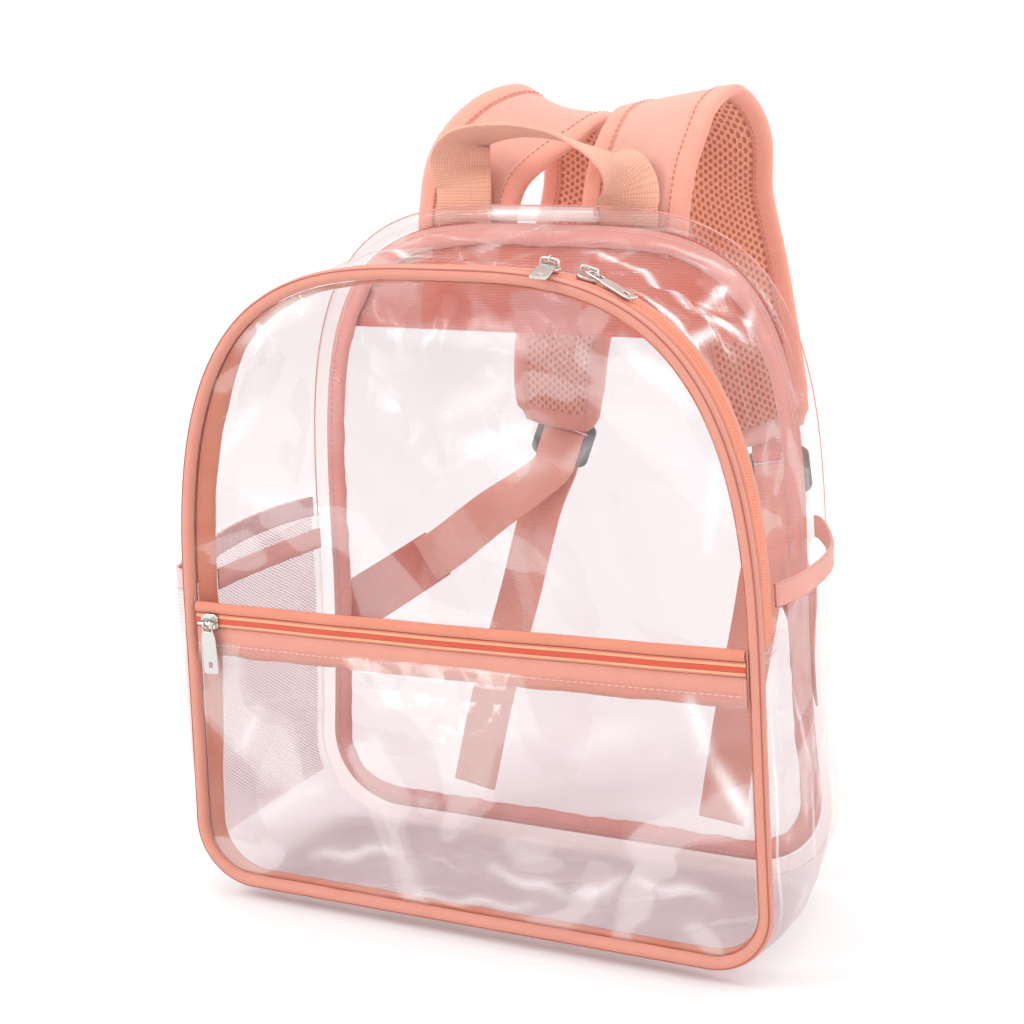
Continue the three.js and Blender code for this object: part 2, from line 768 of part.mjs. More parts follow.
function webbing(side, axes, start, run, tail) {
  const clearance = lockWall / 2 + gap + webWall;
  const at = onLock(axes);
  const foot = lockHeight / 2;
  const turn = [
    [foot + 4, clearance + 0.6],
    [foot - 4, clearance],
    [middleBarTop + 2, clearance],
    [middleBarTop - 1.3, clearance - 0.4],
  ];
  const turnRound = [
    ...turn.map(([along, face]) => at(along, face)),
    at(middleBarTop - 2.7, 0),
    ...turn.reverse().map(([along, face]) => at(along, -face)),
  ];
  const sewn = [-tabLap, -tabLap / 2, tabLap * 0.75].map(start);
  const way = (list) => ribbonStations(list, webHalfWidth);
  const stations = [...sewn, ...way(run), ...turnRound, ...way(tail)];
  fabric(`webbing_${side}`, ribbon(ribbonFrames(stations, webSteps), flatColumns(-webWall)), 0xf7977c);
}

// A fabric tab from the back seam; the webbing is sewn on the bag's side of its end
function tab(side, sign, end, lean) {
  const root = (across) => {
    const z = tabHeight - sign * across * (tabHalfWidth + tabSpread);
    const half = halfWidth(inset(backSeam, backBeadRadius + 2 * gap), z);
    const [x] = settle(backSeam, -sign * half, z);
    return new THREE.Vector3(x, backY + layer, z);
  };
  const tip = vec(behind(end));
  const along = tip.clone().sub(root(0)).normalize();
  const cross = vec(lean).addScaledVector(along, -vec(lean).dot(along)).normalize();
  const out = cross.clone().cross(along);
  const face = (share, across) => {
    const p = root(across).lerp(tip.clone().addScaledVector(cross, across * tabHalfWidth), share);
    return p.addScaledVector(out, tabSag * share * (1 - share));
  };
  const rowCount = 6;
  const geometry = slab(rowCount, 3, (i, j, outer) => {
    const p = face(i / (rowCount - 1), j - 1).addScaledVector(out, outer ? -tapeWall : 0);
    return [p.x, Math.max(p.y, backY + layer + (outer ? tapeWall : 0)), p.z];
  });
  fabric(`strap_tab_${side}`, geometry, 0xef8f78);
  return (distance) => {
    const p = tip.clone().addScaledVector(along, distance).addScaledVector(out, gap + webWall);
    return [p.x, p.y, p.z, cross.x, cross.y, cross.z, webHalfWidth];
  };
}

// A loop of tape from the end of the strap round the adjuster's top bar
function strapLoop(side, axes) {
  const top = -lockHeight / 2;
  const out = lockWall / 2 + gap + tapeWall;
  const at = onLock(axes);
  const half = [
    [top - loopReach, tapeWall + gap],
    [top, out],
    [top + lockBar - 0.6, out],
    [top + lockBar + 1, out - 1.1],
  ];
  const stations = [
    ...half.map(([along, face]) => at(along, -face)),
    at(top + lockBar + tapeWall + gap + 0.1, 0),
    ...half.reverse().map(([along, face]) => at(along, face)),
  ];
  fabric(`strap_loop_${side}`, ribbon(ribbonFrames(stations, loopSteps), flatColumns(tapeWall)), 0xef8f78);
}

// The handle: a loop of webbing whose legs are sewn between the back bead and the straps

function handle() {
  const legX = handleLegX;
  const legY = strapFace;
  const beadY = backY + backBeadRadius + gap;
  const crossY = beadY - handleForward;
  const overLeg = beadY + handleWall + gap;
  const turn = handleTurn;
  const stations = [
    [-legX, legY, 0.899, 1, 0, 0],
    [-legX, legY, 0.946, 1, 0, 0],
    [-legX, beadY, 0.982, 1, 0, 0],
    [-legX, beadY, 1.035, 1, 0.05, 0],
    [-legX, beadY - turn / 3, 1.073, 0.9, 0.45, 0],
    [-legX + turn, crossY, 1.106, 0.35, 0.9, -0.2],
    [-handleCrossX, crossY, 1.121, 0.05, 1, 0],
    [handleCrossX, crossY, 1.109, 0, 1, 0.1],
    [legX - turn, crossY, 1.076, 0.35, 0.9, 0.2],
    [legX, beadY - turn / 6, 1.041, 0.85, 0.5, 0],
    [legX, overLeg, 1.011, 1, 0.05, 0],
    [legX, overLeg, 0.982, 1, 0, 0],
    [legX, legY + handleWall, 0.946, 1, 0, 0],
    [legX, legY + handleWall, 0.899, 1, 0, 0],
  ].map(([x, y, z, sx, sy, sz]) => [backMiddle + x, y, z * backTop, sx, sy, sz, handleHalfWidth]);
  fabric('handle', ribbon(ribbonFrames(stations, handleSteps), flatColumns(-handleWall)), 0xf58f6c);
}

// Sliders: a body over the teeth with a bridge, in axes of travel, across and out

function joined(parts) {
  const solids = parts.map(([sx, sy, sz, x, y, z]) => {
    const box = new THREE.BoxGeometry(sx, sy, sz).translate(x, y, z);
    box.deleteAttribute('normal');
    box.deleteAttribute('uv');
    const merged = mergeVertices(box);
    return new wasm.Manifold(new wasm.Mesh({
      numProp: 3,
      vertProperties: new Float32Array(merged.attributes.position.array),
      triVerts: new Uint32Array(merged.index.array),
    }));
  });
  const whole = solids.reduce((a, b) => a.add(b)).getMesh();
  const geometry = new THREE.BufferGeometry();
  geometry.setAttribute('position', new THREE.Float32BufferAttribute(whole.vertProperties, 3));
  geometry.setIndex(Array.from(whole.triVerts));
  return geometry;
}

const barHeight = sliderTop + bridgeHeight - bridgeBar / 2;
const eyeHeight = barHeight - bridgeBar / 2 - pullerDrop;

function sliderGeometry() {
  const base = coilHeight + gap;
  const sunk = 1;
  const postPlace = sliderLength / 2 - bridgePost / 2;
  const postHeight = bridgeHeight + sunk;
  const postMiddle = sliderTop + (bridgeHeight - sunk) / 2;
  return joined([
    [sliderLength, sliderWidth, sliderTop - base, 0, 0, (sliderTop + base) / 2],
    [bridgePost, bridgeBar, postHeight, -postPlace, 0, postMiddle],
    [bridgePost, bridgeBar, postHeight, postPlace, 0, postMiddle],
    [sliderLength, bridgeBar, bridgeBar, 0, 0, barHeight],
  ]);
}

// The puller lies along its own X, with its eye round the bridge
function pullerGeometry(eyeLength) {
  const half = pullerWidth / 2;
  const neck = pullerNeck / 2;
  const start = -pullerBehind;
  const end = start + pullerLength;
  const edge = [
    [eyeLength, neck],
    [eyeLength + half - neck + 2, half],
    [end - pullerCut, half],
    [end, half - pullerCut],
  ];
  const shape = new THREE.Shape();
  shape.setFromPoints(flatPoints([
    [start, -neck],
    ...edge.map(([x, y]) => [x, -y]),
    ...edge.reverse(),
    [start, neck],
  ]));
  shape.holes.push(hole(start + pullerRim, eyeLength, -pullerEye / 2, pullerEye / 2));
  const slotEnd = end - pullerSlotPlace;
  shape.holes.push(hole(slotEnd - pullerSlot, slotEnd, -pullerSlotWidth / 2, pullerSlotWidth / 2));
  const geometry = new THREE.ExtrudeGeometry(shape, { depth: pullerWall, bevelEnabled: false });
  return geometry.translate(0, 0, -pullerWall / 2);
}

function stand(mesh, origin, along, out) {
  const x = along.clone().normalize();
  const z = out.clone().addScaledVector(x, -out.dot(x)).normalize();
  const y = z.clone().cross(x);
  const turn = new THREE.Matrix4().makeBasis(x, y, z);
  turn.setPosition(origin);
  mesh.applyMatrix4(turn);
}

// The puller lies from its bridge down to the beads in front of it
function mainSlider(label, place, coilY, skew, eyeLength) {
  const { x, z, nx, nz } = gusset(place, coilY);
  const out = new THREE.Vector3(nx, 0, nz);
  const travel = new THREE.Vector3(nz, 0, -nx);
  const origin = new THREE.Vector3(x, coilY, z);
  const slider = nickel(`slider_main_${label}`, sliderGeometry());
  stand(slider, origin, travel, out);
  const reach = Math.min((coilY - frontY) / Math.cos(skew), pullerLength - pullerBehind);
  const restY = coilY - reach * Math.cos(skew);
  const rest = gusset(place - reach * Math.sin(skew) / pointLength, restY);
  const height = pipingRadius + gap + pullerWall / 2 + pullerRest;
  const eye = origin.clone().addScaledVector(out, eyeHeight);
  const along = new THREE.Vector3(rest.x + rest.nx * height, restY, rest.z + rest.nz * height).sub(eye);
  const puller = nickel(`puller_main_${label}`, pullerGeometry(eyeLength));
  stand(puller, eye, along, out);
}

function pocketSlider(zip) {
  const x = -frontSeam.width / 2 + pocketSliderInset;
  const z = zip.coilMiddle + pocketZipSlope * x;
  const [px] = settle(frontSeam, x, z);
  const out = new THREE.Vector3(0, -1, 0);
  const travel = new THREE.Vector3(1, 0, pocketZipSlope).normalize();
  const face = frontFace(x, z);
  const origin = new THREE.Vector3(px, face - (zip.coilFace - coilHeight), z);
  const slider = nickel('slider_pocket', sliderGeometry());
  stand(slider, origin, travel, out);
  const puller = nickel('puller_pocket', pullerGeometry(pullerEye));
  const down = new THREE.Vector3(0.05, 0, -1);
  stand(puller, origin.clone().addScaledVector(out, eyeHeight), down, out);
}

seams();
const mainZipPlaces = mainZip();
lowerGusset();
panels();
yoke();
const pocketZipPlaces = pocketZip();
sidePockets();
strap('left');
strap('right');
handle();
const leftLock = lockAxes(behind([-0.207, 0.943, 0.608]), [-0.25, -0.25, -0.93]);
const rightLock = lockAxes(behind([0.683, 0.938, 0.577]), [0.2, -0.25, -0.93]);
ladderLock('left', leftLock);
ladderLock('right', rightLock);
strapLoop('left', leftLock);
strapLoop('right', rightLock);
const leftTab = tab('left', 1, [-0.563, 0.209, 0.441], [0.62, 0, -0.78]);
const rightTab = tab('right', -1, [0.873, 0.296, 0.441], [0.62, 0, 0.78]);
webbing('left', leftLock, leftTab, [
  [-0.408, 0.471, 0.5, 0.75, 0, -0.6],
], [
  [-0.261, 0.759, 0.497, 1, 0, 0],
  [-0.303, 0.534, 0.361, 1, 0, 0],
  [-0.373, 0.334, 0.207, 1, 0, 0],
  [-0.43, 0.196, 0.053, 1, 0, 0],
]);
webbing('right', rightLock, rightTab, [
  [0.782, 0.509, 0.494, 0.85, 0, 0.4],
], [
  [0.69, 0.696, 0.467, 1, 0, 0],
  [0.676, 0.496, 0.355, 1, 0, 0],
  [0.641, 0.321, 0.207, 1, 0, 0],
  [0.606, 0.196, 0.053, 1, 0, 0],
]);
const topPlace = (reach) => archSteps / 2 - reach / pointLength;
mainSlider('a', topPlace(sliderReachA), mainZipPlaces.coilMiddle, pullerTurnA, pullerEye);
mainSlider('b', topPlace(sliderReachB), mainZipPlaces.coilMiddle, pullerTurnB, pullerEye + pullerLongEye);
pocketSlider(pocketZipPlaces);

export default group;
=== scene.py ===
import math

import bmesh
import bpy
import numpy as np
from mathutils import Matrix, Vector, noise


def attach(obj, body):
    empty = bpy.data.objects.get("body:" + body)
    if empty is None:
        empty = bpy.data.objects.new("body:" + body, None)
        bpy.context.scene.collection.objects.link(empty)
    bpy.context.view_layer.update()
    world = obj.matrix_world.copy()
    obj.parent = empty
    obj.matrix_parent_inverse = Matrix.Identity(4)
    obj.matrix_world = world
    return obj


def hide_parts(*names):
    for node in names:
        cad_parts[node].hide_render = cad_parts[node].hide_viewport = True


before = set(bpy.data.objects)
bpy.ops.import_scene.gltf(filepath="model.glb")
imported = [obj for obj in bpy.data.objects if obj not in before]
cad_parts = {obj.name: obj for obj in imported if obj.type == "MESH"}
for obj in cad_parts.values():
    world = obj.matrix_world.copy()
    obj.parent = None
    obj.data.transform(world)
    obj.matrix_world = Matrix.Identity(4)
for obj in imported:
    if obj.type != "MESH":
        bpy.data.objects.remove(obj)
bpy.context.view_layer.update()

# The clear backpack's looks. Shapes are worked out in millimetres and made in metres.
scene = bpy.context.scene
MM = 0.001

# Sizes shared with the solids
WALL, GAP, TAPE = 1.0, 0.3, 1.2
DEPTH = 126
FRONT_Y, BACK_Y = -DEPTH / 2, DEPTH / 2
LAYER = WALL / 2 + GAP
FLARE_HEIGHT, FLARE_POWER, LEAN_CENTRE = 140, 1.5, 160
FRONT = dict(width=300, height=312.5, lift=10, arch=205, corner=29.5, power=3.15, flare=0.021,
             lean=-0.018, shift=0)
BACK = dict(width=284, height=334, lift=4.2, arch=205, corner=47, power=3.7, flare=0.07,
            lean=-0.018, shift=-6)
ARCH, SIDE, CORNER, BOTTOM = 24, 3, 4, 6
RING = ARCH + 2 * SIDE + 2 * CORNER + BOTTOM
PIPING_R, BEAD_R = 3.3, 3.9
SIDE_BULGE, BOTTOM_DROOP, TOP_SAG, FRONT_BOW = 3, 12, 3, 3
ZIP_END_Z = 160
BEAD_START = FRONT_Y + PIPING_R + GAP
BEAD_END = BEAD_START + 6.2
COIL_START = BEAD_END + 1.2
COIL_END = COIL_START + 6
TAPE_END = COIL_END + GAP + 7
COIL_MIDDLE = (COIL_START + COIL_END) / 2
POCKET_TOP, POCKET_SLOPE = 158.5, 0.02
WELT, POCKET_COIL, POCKET_TAPE, POCKET_LAP, POCKET_BULGE = 5.4, 6.8, 14, 7, 8
STRAP_HALF, WEB_HALF, WEB_WALL, HANDLE_HALF, HANDLE_WALL = 28.5, 12.5, 1.4, 15.5, 1.5
BACK_MIDDLE = BACK["shift"] + BACK["lean"] * (BACK["height"] - LEAN_CENTRE) - 2
STRAP_FACE = BACK_Y + LAYER + TAPE + GAP
STRAP_ROOT = STRAP_FACE + HANDLE_WALL + GAP + 4.2


# Shape helpers

def clamp(v, low=0.0, high=1.0):
    return np.clip(v, low, high)


def mix(a, b, t):
    return a + (b - a) * t


def around(count):
    """Angles evenly round a circle."""
    return np.linspace(0, 2 * math.pi, count, endpoint=False)


def inset(seam, d):
    return dict(seam, width=seam["width"] - 2 * d, height=seam["height"] - 2 * d,
                lift=seam["lift"] + d, arch=seam["arch"] - d, corner=seam["corner"] - d)


def settle(seam, x, z):
    low = clamp(1 - (z - seam["lift"]) / FLARE_HEIGHT)
    return x * (1 + seam["flare"] * low ** FLARE_POWER) + seam["lean"] * (z - LEAN_CENTRE) + seam["shift"]


def spring(seam):
    return seam["lift"] + seam["height"] - seam["arch"]


def half_width(seam, z):
    rise = clamp((z - spring(seam)) / seam["arch"])
    drop = clamp((seam["lift"] + seam["corner"] - z) / seam["corner"])
    half = seam["width"] / 2
    upper = half * (1 - rise ** seam["power"]) ** (1 / seam["power"])
    lower = half - seam["corner"] * (1 - np.sqrt(1 - drop * drop))
    return np.where(z >= spring(seam), upper, lower)


def ring(seam, k):
    """The seam's outline at place k, counted as the solids count it from the right spring."""
    k = np.mod(np.asarray(k, float), RING)
    half, corner, bend = seam["width"] / 2, seam["corner"], seam["lift"] + seam["corner"]
    angle = np.linspace(0, math.pi, 2001)
    c, s = np.cos(angle), np.clip(np.sin(angle), 0, 1)
    ax = half * np.sign(c) * np.abs(c) ** (2 / seam["power"])
    az = spring(seam) + seam["arch"] * s ** (2 / seam["power"])
    run = np.concatenate([[0], np.cumsum(np.hypot(np.diff(ax), np.diff(az)))])
    share = clamp(k / ARCH)
    left = clamp((k - ARCH) / SIDE)
    left_turn = math.pi * (1 + clamp((k - ARCH - SIDE) / CORNER) / 2)
    base = clamp((k - ARCH - SIDE - CORNER) / BOTTOM)
    right_turn = math.pi * (1.5 + clamp((k - ARCH - SIDE - CORNER - BOTTOM) / CORNER) / 2)
    right = clamp((k - (RING - SIDE)) / SIDE)
    flat = half - corner
    edges = [k <= ARCH, k <= ARCH + SIDE, k <= ARCH + SIDE + CORNER,
             k <= ARCH + SIDE + CORNER + BOTTOM, k <= RING - SIDE]
    x = np.select(edges, [np.interp(share, run / run[-1], ax), -half + 0 * k,
                          -flat + corner * np.cos(left_turn), mix(-flat, flat, base),
                          flat + corner * np.cos(right_turn)], half)
    z = np.select(edges, [np.interp(share, run / run[-1], az), mix(spring(seam), bend, left),
                          bend + corner * np.sin(left_turn), seam["lift"] + 0 * k,
                          bend + corner * np.sin(right_turn)], mix(bend, spring(seam), right))
    return settle(seam, x, z), z


def ring_normal(seam, k):
    ax, az = ring(seam, k - 0.4)
    bx, bz = ring(seam, k + 0.4)
    length = np.hypot(bx - ax, bz - az)
    return (bz - az) / length, -(bx - ax) / length


def gusset(k, y):
    """Place and outward direction on the surface between the two seams."""
    t = (y - FRONT_Y) / DEPTH
    fx, fz = ring(FRONT, k)
    bx, bz = ring(BACK, k)
    fnx, fnz = ring_normal(FRONT, k)
    bnx, bnz = ring_normal(BACK, k)
    nx, nz = mix(fnx, bnx, t), mix(fnz, bnz, t)
    length = np.hypot(nx, nz)
    nx, nz = nx / length, nz / length
    bulge = mix(mix(SIDE_BULGE, BOTTOM_DROOP, clamp(-nz)), -TOP_SAG, clamp(nz))
    swell = bulge * 4 * t * (1 - t)
    return mix(fx, bx, t) + nx * swell, np.maximum(mix(fz, bz, t) + nz * swell, 0.6), nx, nz


def arch_place(height):
    k = np.linspace(0, 6, 6001)
    return float(np.interp(height, ring(FRONT, k)[1], k))


ZIP_END = arch_place(ZIP_END_Z)
POINT = math.hypot(*(np.diff(ring(FRONT, np.array([0.0, 1.0])), axis=1)[:, 0]))


def rough(x, y, z, size, seed=0.0, octaves=2):
    """Smooth noise from -1 to 1 at places in millimetres."""
    flat = [np.ravel(np.broadcast_to(v, np.broadcast(x, y, z).shape)) for v in (x, y, z)]
    out = np.zeros(len(flat[0]))
    for octave in range(octaves):
        f = 2 ** octave / size
        out += [noise.noise(Vector((a * f + seed, b * f - seed, c * f + 3 * seed))) / 2 ** octave
                for a, b, c in zip(*flat)]
    return out.reshape(np.broadcast(x, y, z).shape)


def crease(u, v, start, end, width, depth):
    """A fold along a line, deepest at its middle."""
    start, end = np.array(start, float), np.array(end, float)
    along = end - start
    length = np.hypot(*along)
    along = along / length
    du, dv = u - start[0], v - start[1]
    run = (du * along[0] + dv * along[1]) / length
    off = (dv * along[0] - du * along[1]) / width
    return depth * np.exp(-off * off) * np.sin(math.pi * clamp(run)) ** 0.6


def creases(u, v, lines):
    """All the folds of a list of lines, with their widths and depths."""
    return sum(crease(u, v, *line) for line in lines)


def gleams(u, v, lines):
    """A painted highlight along folds on the given lines, from 0 to 1."""
    total = 0 * u
    for start, end, width, strength in lines:
        bent = v + 1.5 * np.sin(u * 0.21 + start[0])
        total = total + crease(u, bent, start, end, width, strength)
    return clamp(total)


def grid_faces(nu, nv, closed_u=False, closed_v=False):
    i, j = np.meshgrid(np.arange(nu if closed_u else nu - 1), np.arange(nv if closed_v else nv - 1),
                       indexing="ij")
    a, b = i * nv + j, ((i + 1) % nu) * nv + j
    c, d = ((i + 1) % nu) * nv + (j + 1) % nv, i * nv + (j + 1) % nv
    return np.stack([a, b, c, d], -1).reshape(-1, 4), i.ravel(), j.ravel()


def make(name, verts, faces, uvs=None, smooth=True):
    mesh = bpy.data.meshes.new(name)
    mesh.from_pydata((np.asarray(verts, float) * MM).tolist(), [], [list(map(int, f)) for f in faces])
    if uvs is not None:
        layer = mesh.uv_layers.new(name="weave")
        layer.data.foreach_set("uv", np.asarray(uvs, float).ravel() * MM)
    mesh.update()
    if smooth:
        mesh.shade_smooth()
    obj = bpy.data.objects.new(name, mesh)
    scene.collection.objects.link(obj)
    return obj


def lengths(points, closed):
    steps = np.linalg.norm(np.diff(points, axis=0), axis=1)
    if closed:
        steps = np.append(steps, np.linalg.norm(points[0] - points[-1]))
    return np.concatenate([[0], np.cumsum(steps)])


def skin(name, P, closed_u=False, closed_v=False, flip=False, fold=None):
    """A surface through a grid of points, with its place along and across kept in millimetres."""
    nu, nv = P.shape[:2]
    faces, i, j = grid_faces(nu, nv, closed_u, closed_v)
    u = lengths(P[:, nv // 2], closed_u)
    v = lengths(P[nu // 2], closed_v)
    uvs = np.stack([np.stack([u[i], v[j]], -1), np.stack([u[i + 1], v[j]], -1),
                    np.stack([u[i + 1], v[j + 1]], -1), np.stack([u[i], v[j + 1]], -1)], 1)
    if flip:
        faces, uvs = faces[:, ::-1], uvs[:, ::-1]
    obj = make(name, P.reshape(-1, 3), faces, uvs)
    # The fold attribute carries the painted highlight along folds, for the clear vinyl's material.
    if fold is not None:
        layer = obj.data.attributes.new("fold", "FLOAT", "POINT")
        layer.data.foreach_set("value", np.asarray(fold, float).ravel())
    return obj


def finish(obj, material, slot, *nodes, body="bag"):
    obj.data.materials.clear()
    obj.data.materials.append(material)
    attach(obj, body)
    if nodes:
        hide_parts(*nodes)
    return obj


STITCH_SHARE, STITCH_THICK, STITCH_LIFT, STITCH_SIDES = 0.72, 0.55, 0.1, 5
STITCH_RINGS = ((0, 0.25, -0.25), (0.15, 0.85, 0.15), (0.5, 1, 0.3), (0.85, 0.85, 0.15), (1, 0.25, -0.25))


def stitches(name, points, normals, pitch=3.4, dark=False):
    """A row of stitches along points, each a little bead of thread that dips at its ends."""
    run = lengths(points, False)
    verts, faces = [], []
    for n in range(int(run[-1] / pitch)):
        rows = []
        for t, r, h in STITCH_RINGS:
            s = (n + 0.5 + (t - 0.5) * STITCH_SHARE) * pitch
            p, q, normal = (np.array([np.interp(at, run, data[:, a]) for a in range(3)])
                            for at, data in ((s, points), (s + 0.3, points), (s, normals)))
            across = np.cross(normal, q - p)
            across /= np.linalg.norm(across) + 1e-9
            rows.append([p + normal * (STITCH_LIFT + h * STITCH_THICK + math.sin(a) * STITCH_THICK * r * 0.45)
                         + across * math.cos(a) * STITCH_THICK * r * 0.5 for a in around(STITCH_SIDES)])
        base = len(verts)
        verts += [v for row in rows for v in row]
        f, _, _ = grid_faces(len(rows), STITCH_SIDES, False, True)
        faces += (f + base).tolist()
        last = base + (len(rows) - 1) * STITCH_SIDES
        faces += [[base + a for a in range(STITCH_SIDES)][::-1], [last + a for a in range(STITCH_SIDES)]]
    obj = make(name, verts, faces)
    return finish(obj, DARK_THREAD if dark else THREAD, "binding_tape")


# Material helpers

def srgb(text):
    values = [int(text[i:i + 2], 16) / 255 for i in (1, 3, 5)]
    return tuple(v / 12.92 if v <= 0.04045 else ((v + 0.055) / 1.055) ** 2.4 for v in values) + (1.0,)


def node(tree, kind, inputs=None, **props):
    made = tree.nodes.new(kind)
    for key, value in props.items():
        setattr(made, key, value)
    for key, value in (inputs or {}).items():
        if isinstance(value, bpy.types.NodeSocket):
            tree.links.new(value, made.inputs[key])
        else:
            made.inputs[key].default_value = value
    return made


def calc(tree, operation, *values):
    return node(tree, "ShaderNodeMath", dict(enumerate(values)), operation=operation).outputs[0]


def noise_at(tree, where, scale, detail, distortion=0.0):
    return node(tree, "ShaderNodeTexNoise",
                {"Vector": where, "Scale": scale, "Detail": detail, "Distortion": distortion}).outputs[0]


def ramp(tree, value, low, high, start=0.0, end=1.0):
    return node(tree, "ShaderNodeMapRange", {"Value": value, "From Min": low, "From Max": high,
                                             "To Min": start, "To Max": end}).outputs[0]


def toned(color, factor):
    return tuple(min(c * factor, 1) for c in color[:3]) + (1.0,)


def group(name, inputs, outputs):
    tree = bpy.data.node_groups.new(name, "ShaderNodeTree")
    for label, kind, value in inputs:
        socket = tree.interface.new_socket(label, in_out="INPUT", socket_type=kind)
        if value is not None:
            socket.default_value = value
    for label, kind in outputs:
        tree.interface.new_socket(label, in_out="OUTPUT", socket_type=kind)
    return tree, node(tree, "NodeGroupInput"), node(tree, "NodeGroupOutput")


VECTOR, FLOAT, COLOR = "NodeSocketVector", "NodeSocketFloat", "NodeSocketColor"


def cells(tree, source):
    """Place on the cloth, in threads each way."""
    split = node(tree, "ShaderNodeSeparateXYZ", {0: source.outputs["Place"]})
    return [calc(tree, "DIVIDE", split.outputs[axis], calc(tree, "MULTIPLY", source.outputs[label], MM))
            for axis, label in ((0, "Pitch along"), (1, "Pitch across"))]


def bump_of(tree, value):
    return calc(tree, "ABSOLUTE", calc(tree, "SINE", calc(tree, "MULTIPLY", value, math.pi)))


PITCHES = [("Place", VECTOR, None), ("Pitch along", FLOAT, 1.0), ("Pitch across", FLOAT, 1.0)]


def weave_group():
    tree, source, target = group("Plain weave", PITCHES, [("Height", FLOAT)])
    x, y = cells(tree, source)
    over = calc(tree, "MODULO", calc(tree, "ADD", calc(tree, "FLOOR", x), calc(tree, "FLOOR", y)), 2.0)
    over = calc(tree, "ABSOLUTE", over)
    sx, sy = bump_of(tree, x), bump_of(tree, y)
    warp = calc(tree, "MULTIPLY", sx, calc(tree, "MULTIPLY_ADD", sy, 0.5, 0.5))
    weft = calc(tree, "MULTIPLY", sy, calc(tree, "MULTIPLY_ADD", sx, 0.5, 0.5))
    pick = node(tree, "ShaderNodeMix", {0: over, 2: warp, 3: weft})
    tree.links.new(pick.outputs[0], target.inputs["Height"])
    return tree


def rib_group():
    tree, source, target = group("Ribs", PITCHES, [("Height", FLOAT)])
    x, y = cells(tree, source)
    ribs = calc(tree, "POWER", bump_of(tree, x), 0.6)
    threads = bump_of(tree, y)
    tree.links.new(calc(tree, "MULTIPLY_ADD", threads, 0.25, calc(tree, "MULTIPLY", ribs, 0.75)),
                   target.inputs["Height"])
    return tree


def waffle_group():
    tree, source, target = group("Waffle", PITCHES, [("Height", FLOAT)])
    x, y = cells(tree, source)
    low = calc(tree, "MULTIPLY", bump_of(tree, x), bump_of(tree, y))
    tree.links.new(calc(tree, "POWER", low, 0.55), target.inputs["Height"])
    return tree


def holes_group():
    tree, source, target = group("Staggered holes", PITCHES, [("Hole", FLOAT)])
    x, y = cells(tree, source)
    odd = calc(tree, "ABSOLUTE", calc(tree, "MODULO", calc(tree, "FLOOR", y), 2.0))
    squares = []
    for place, half in ((calc(tree, "MULTIPLY_ADD", odd, 0.5, x), 0.27), (y, 0.34)):
        off = calc(tree, "ABSOLUTE", calc(tree, "SUBTRACT", calc(tree, "FRACT", place), 0.5))
        squares.append(calc(tree, "POWER", calc(tree, "DIVIDE", off, half), 2.0))
    far = calc(tree, "SQRT", calc(tree, "ADD", *squares))
    tree.links.new(ramp(tree, far, 0.8, 1.15, 1.0, 0.0), target.inputs["Hole"])
    return tree


def net_group():
    tree, source, target = group("Net", PITCHES + [("Thread", FLOAT, 0.3)], [("Thread mask", FLOAT)])
    x, y = cells(tree, source)
    low = calc(tree, "MINIMUM", *(bump_of(tree, calc(tree, way, x, y)) for way in ("ADD", "SUBTRACT")))
    mask = calc(tree, "LESS_THAN", low, source.outputs["Thread"])
    tree.links.new(mask, target.inputs["Thread mask"])
    return tree


def tone_group():
    """Uneven dye and a little dust: a share from 0 to 1."""
    tree, source, target = group("Tone", [("Place", VECTOR, None), ("Scale", FLOAT, 60.0)],
                                 [("Share", FLOAT), ("Fine", FLOAT)])
    where = source.outputs["Place"]
    tree.links.new(noise_at(tree, where, source.outputs["Scale"], 3.0), target.inputs["Share"])
    tree.links.new(noise_at(tree, where, 1800.0, 2.0), target.inputs["Fine"])
    return tree


WEAVE, RIBS, WAFFLE, HOLES, NET, TONE = (weave_group(), rib_group(), waffle_group(), holes_group(),
                                         net_group(), tone_group())


def use(tree, made, inputs):
    holder = node(tree, "ShaderNodeGroup")
    holder.node_tree = made
    for key, value in inputs.items():
        if isinstance(value, bpy.types.NodeSocket):
            tree.links.new(value, holder.inputs[key])
        else:
            holder.inputs[key].default_value = value
    return holder


def new_material(name):
    material = bpy.data.materials.new(name)
    material.use_nodes = True
    tree = material.node_tree
    tree.nodes.clear()
    return material, tree, node(tree, "ShaderNodeOutputMaterial")


def blend(tree, share, a, b):
    made = node(tree, "ShaderNodeMix", {0: share, 6: a, 7: b}, data_type="RGBA")
    return made.outputs[2]


def show(tree, out, shader):
    tree.links.new(shader.outputs[0], out.inputs[0])


def see_through(tree, share, shader, tint="#FFFFFF"):
    """Lets light straight through where share is 0 and shows the shader where it is 1."""
    through = node(tree, "ShaderNodeBsdfTransparent", {"Color": srgb(tint)})
    return node(tree, "ShaderNodeMixShader", {0: share, 1: through.outputs[0], 2: shader.outputs[0]})


def raised(tree, height, strength, depth):
    return node(tree, "ShaderNodeBump", {"Height": height, "Strength": strength, "Distance": depth * MM}).outputs[0]


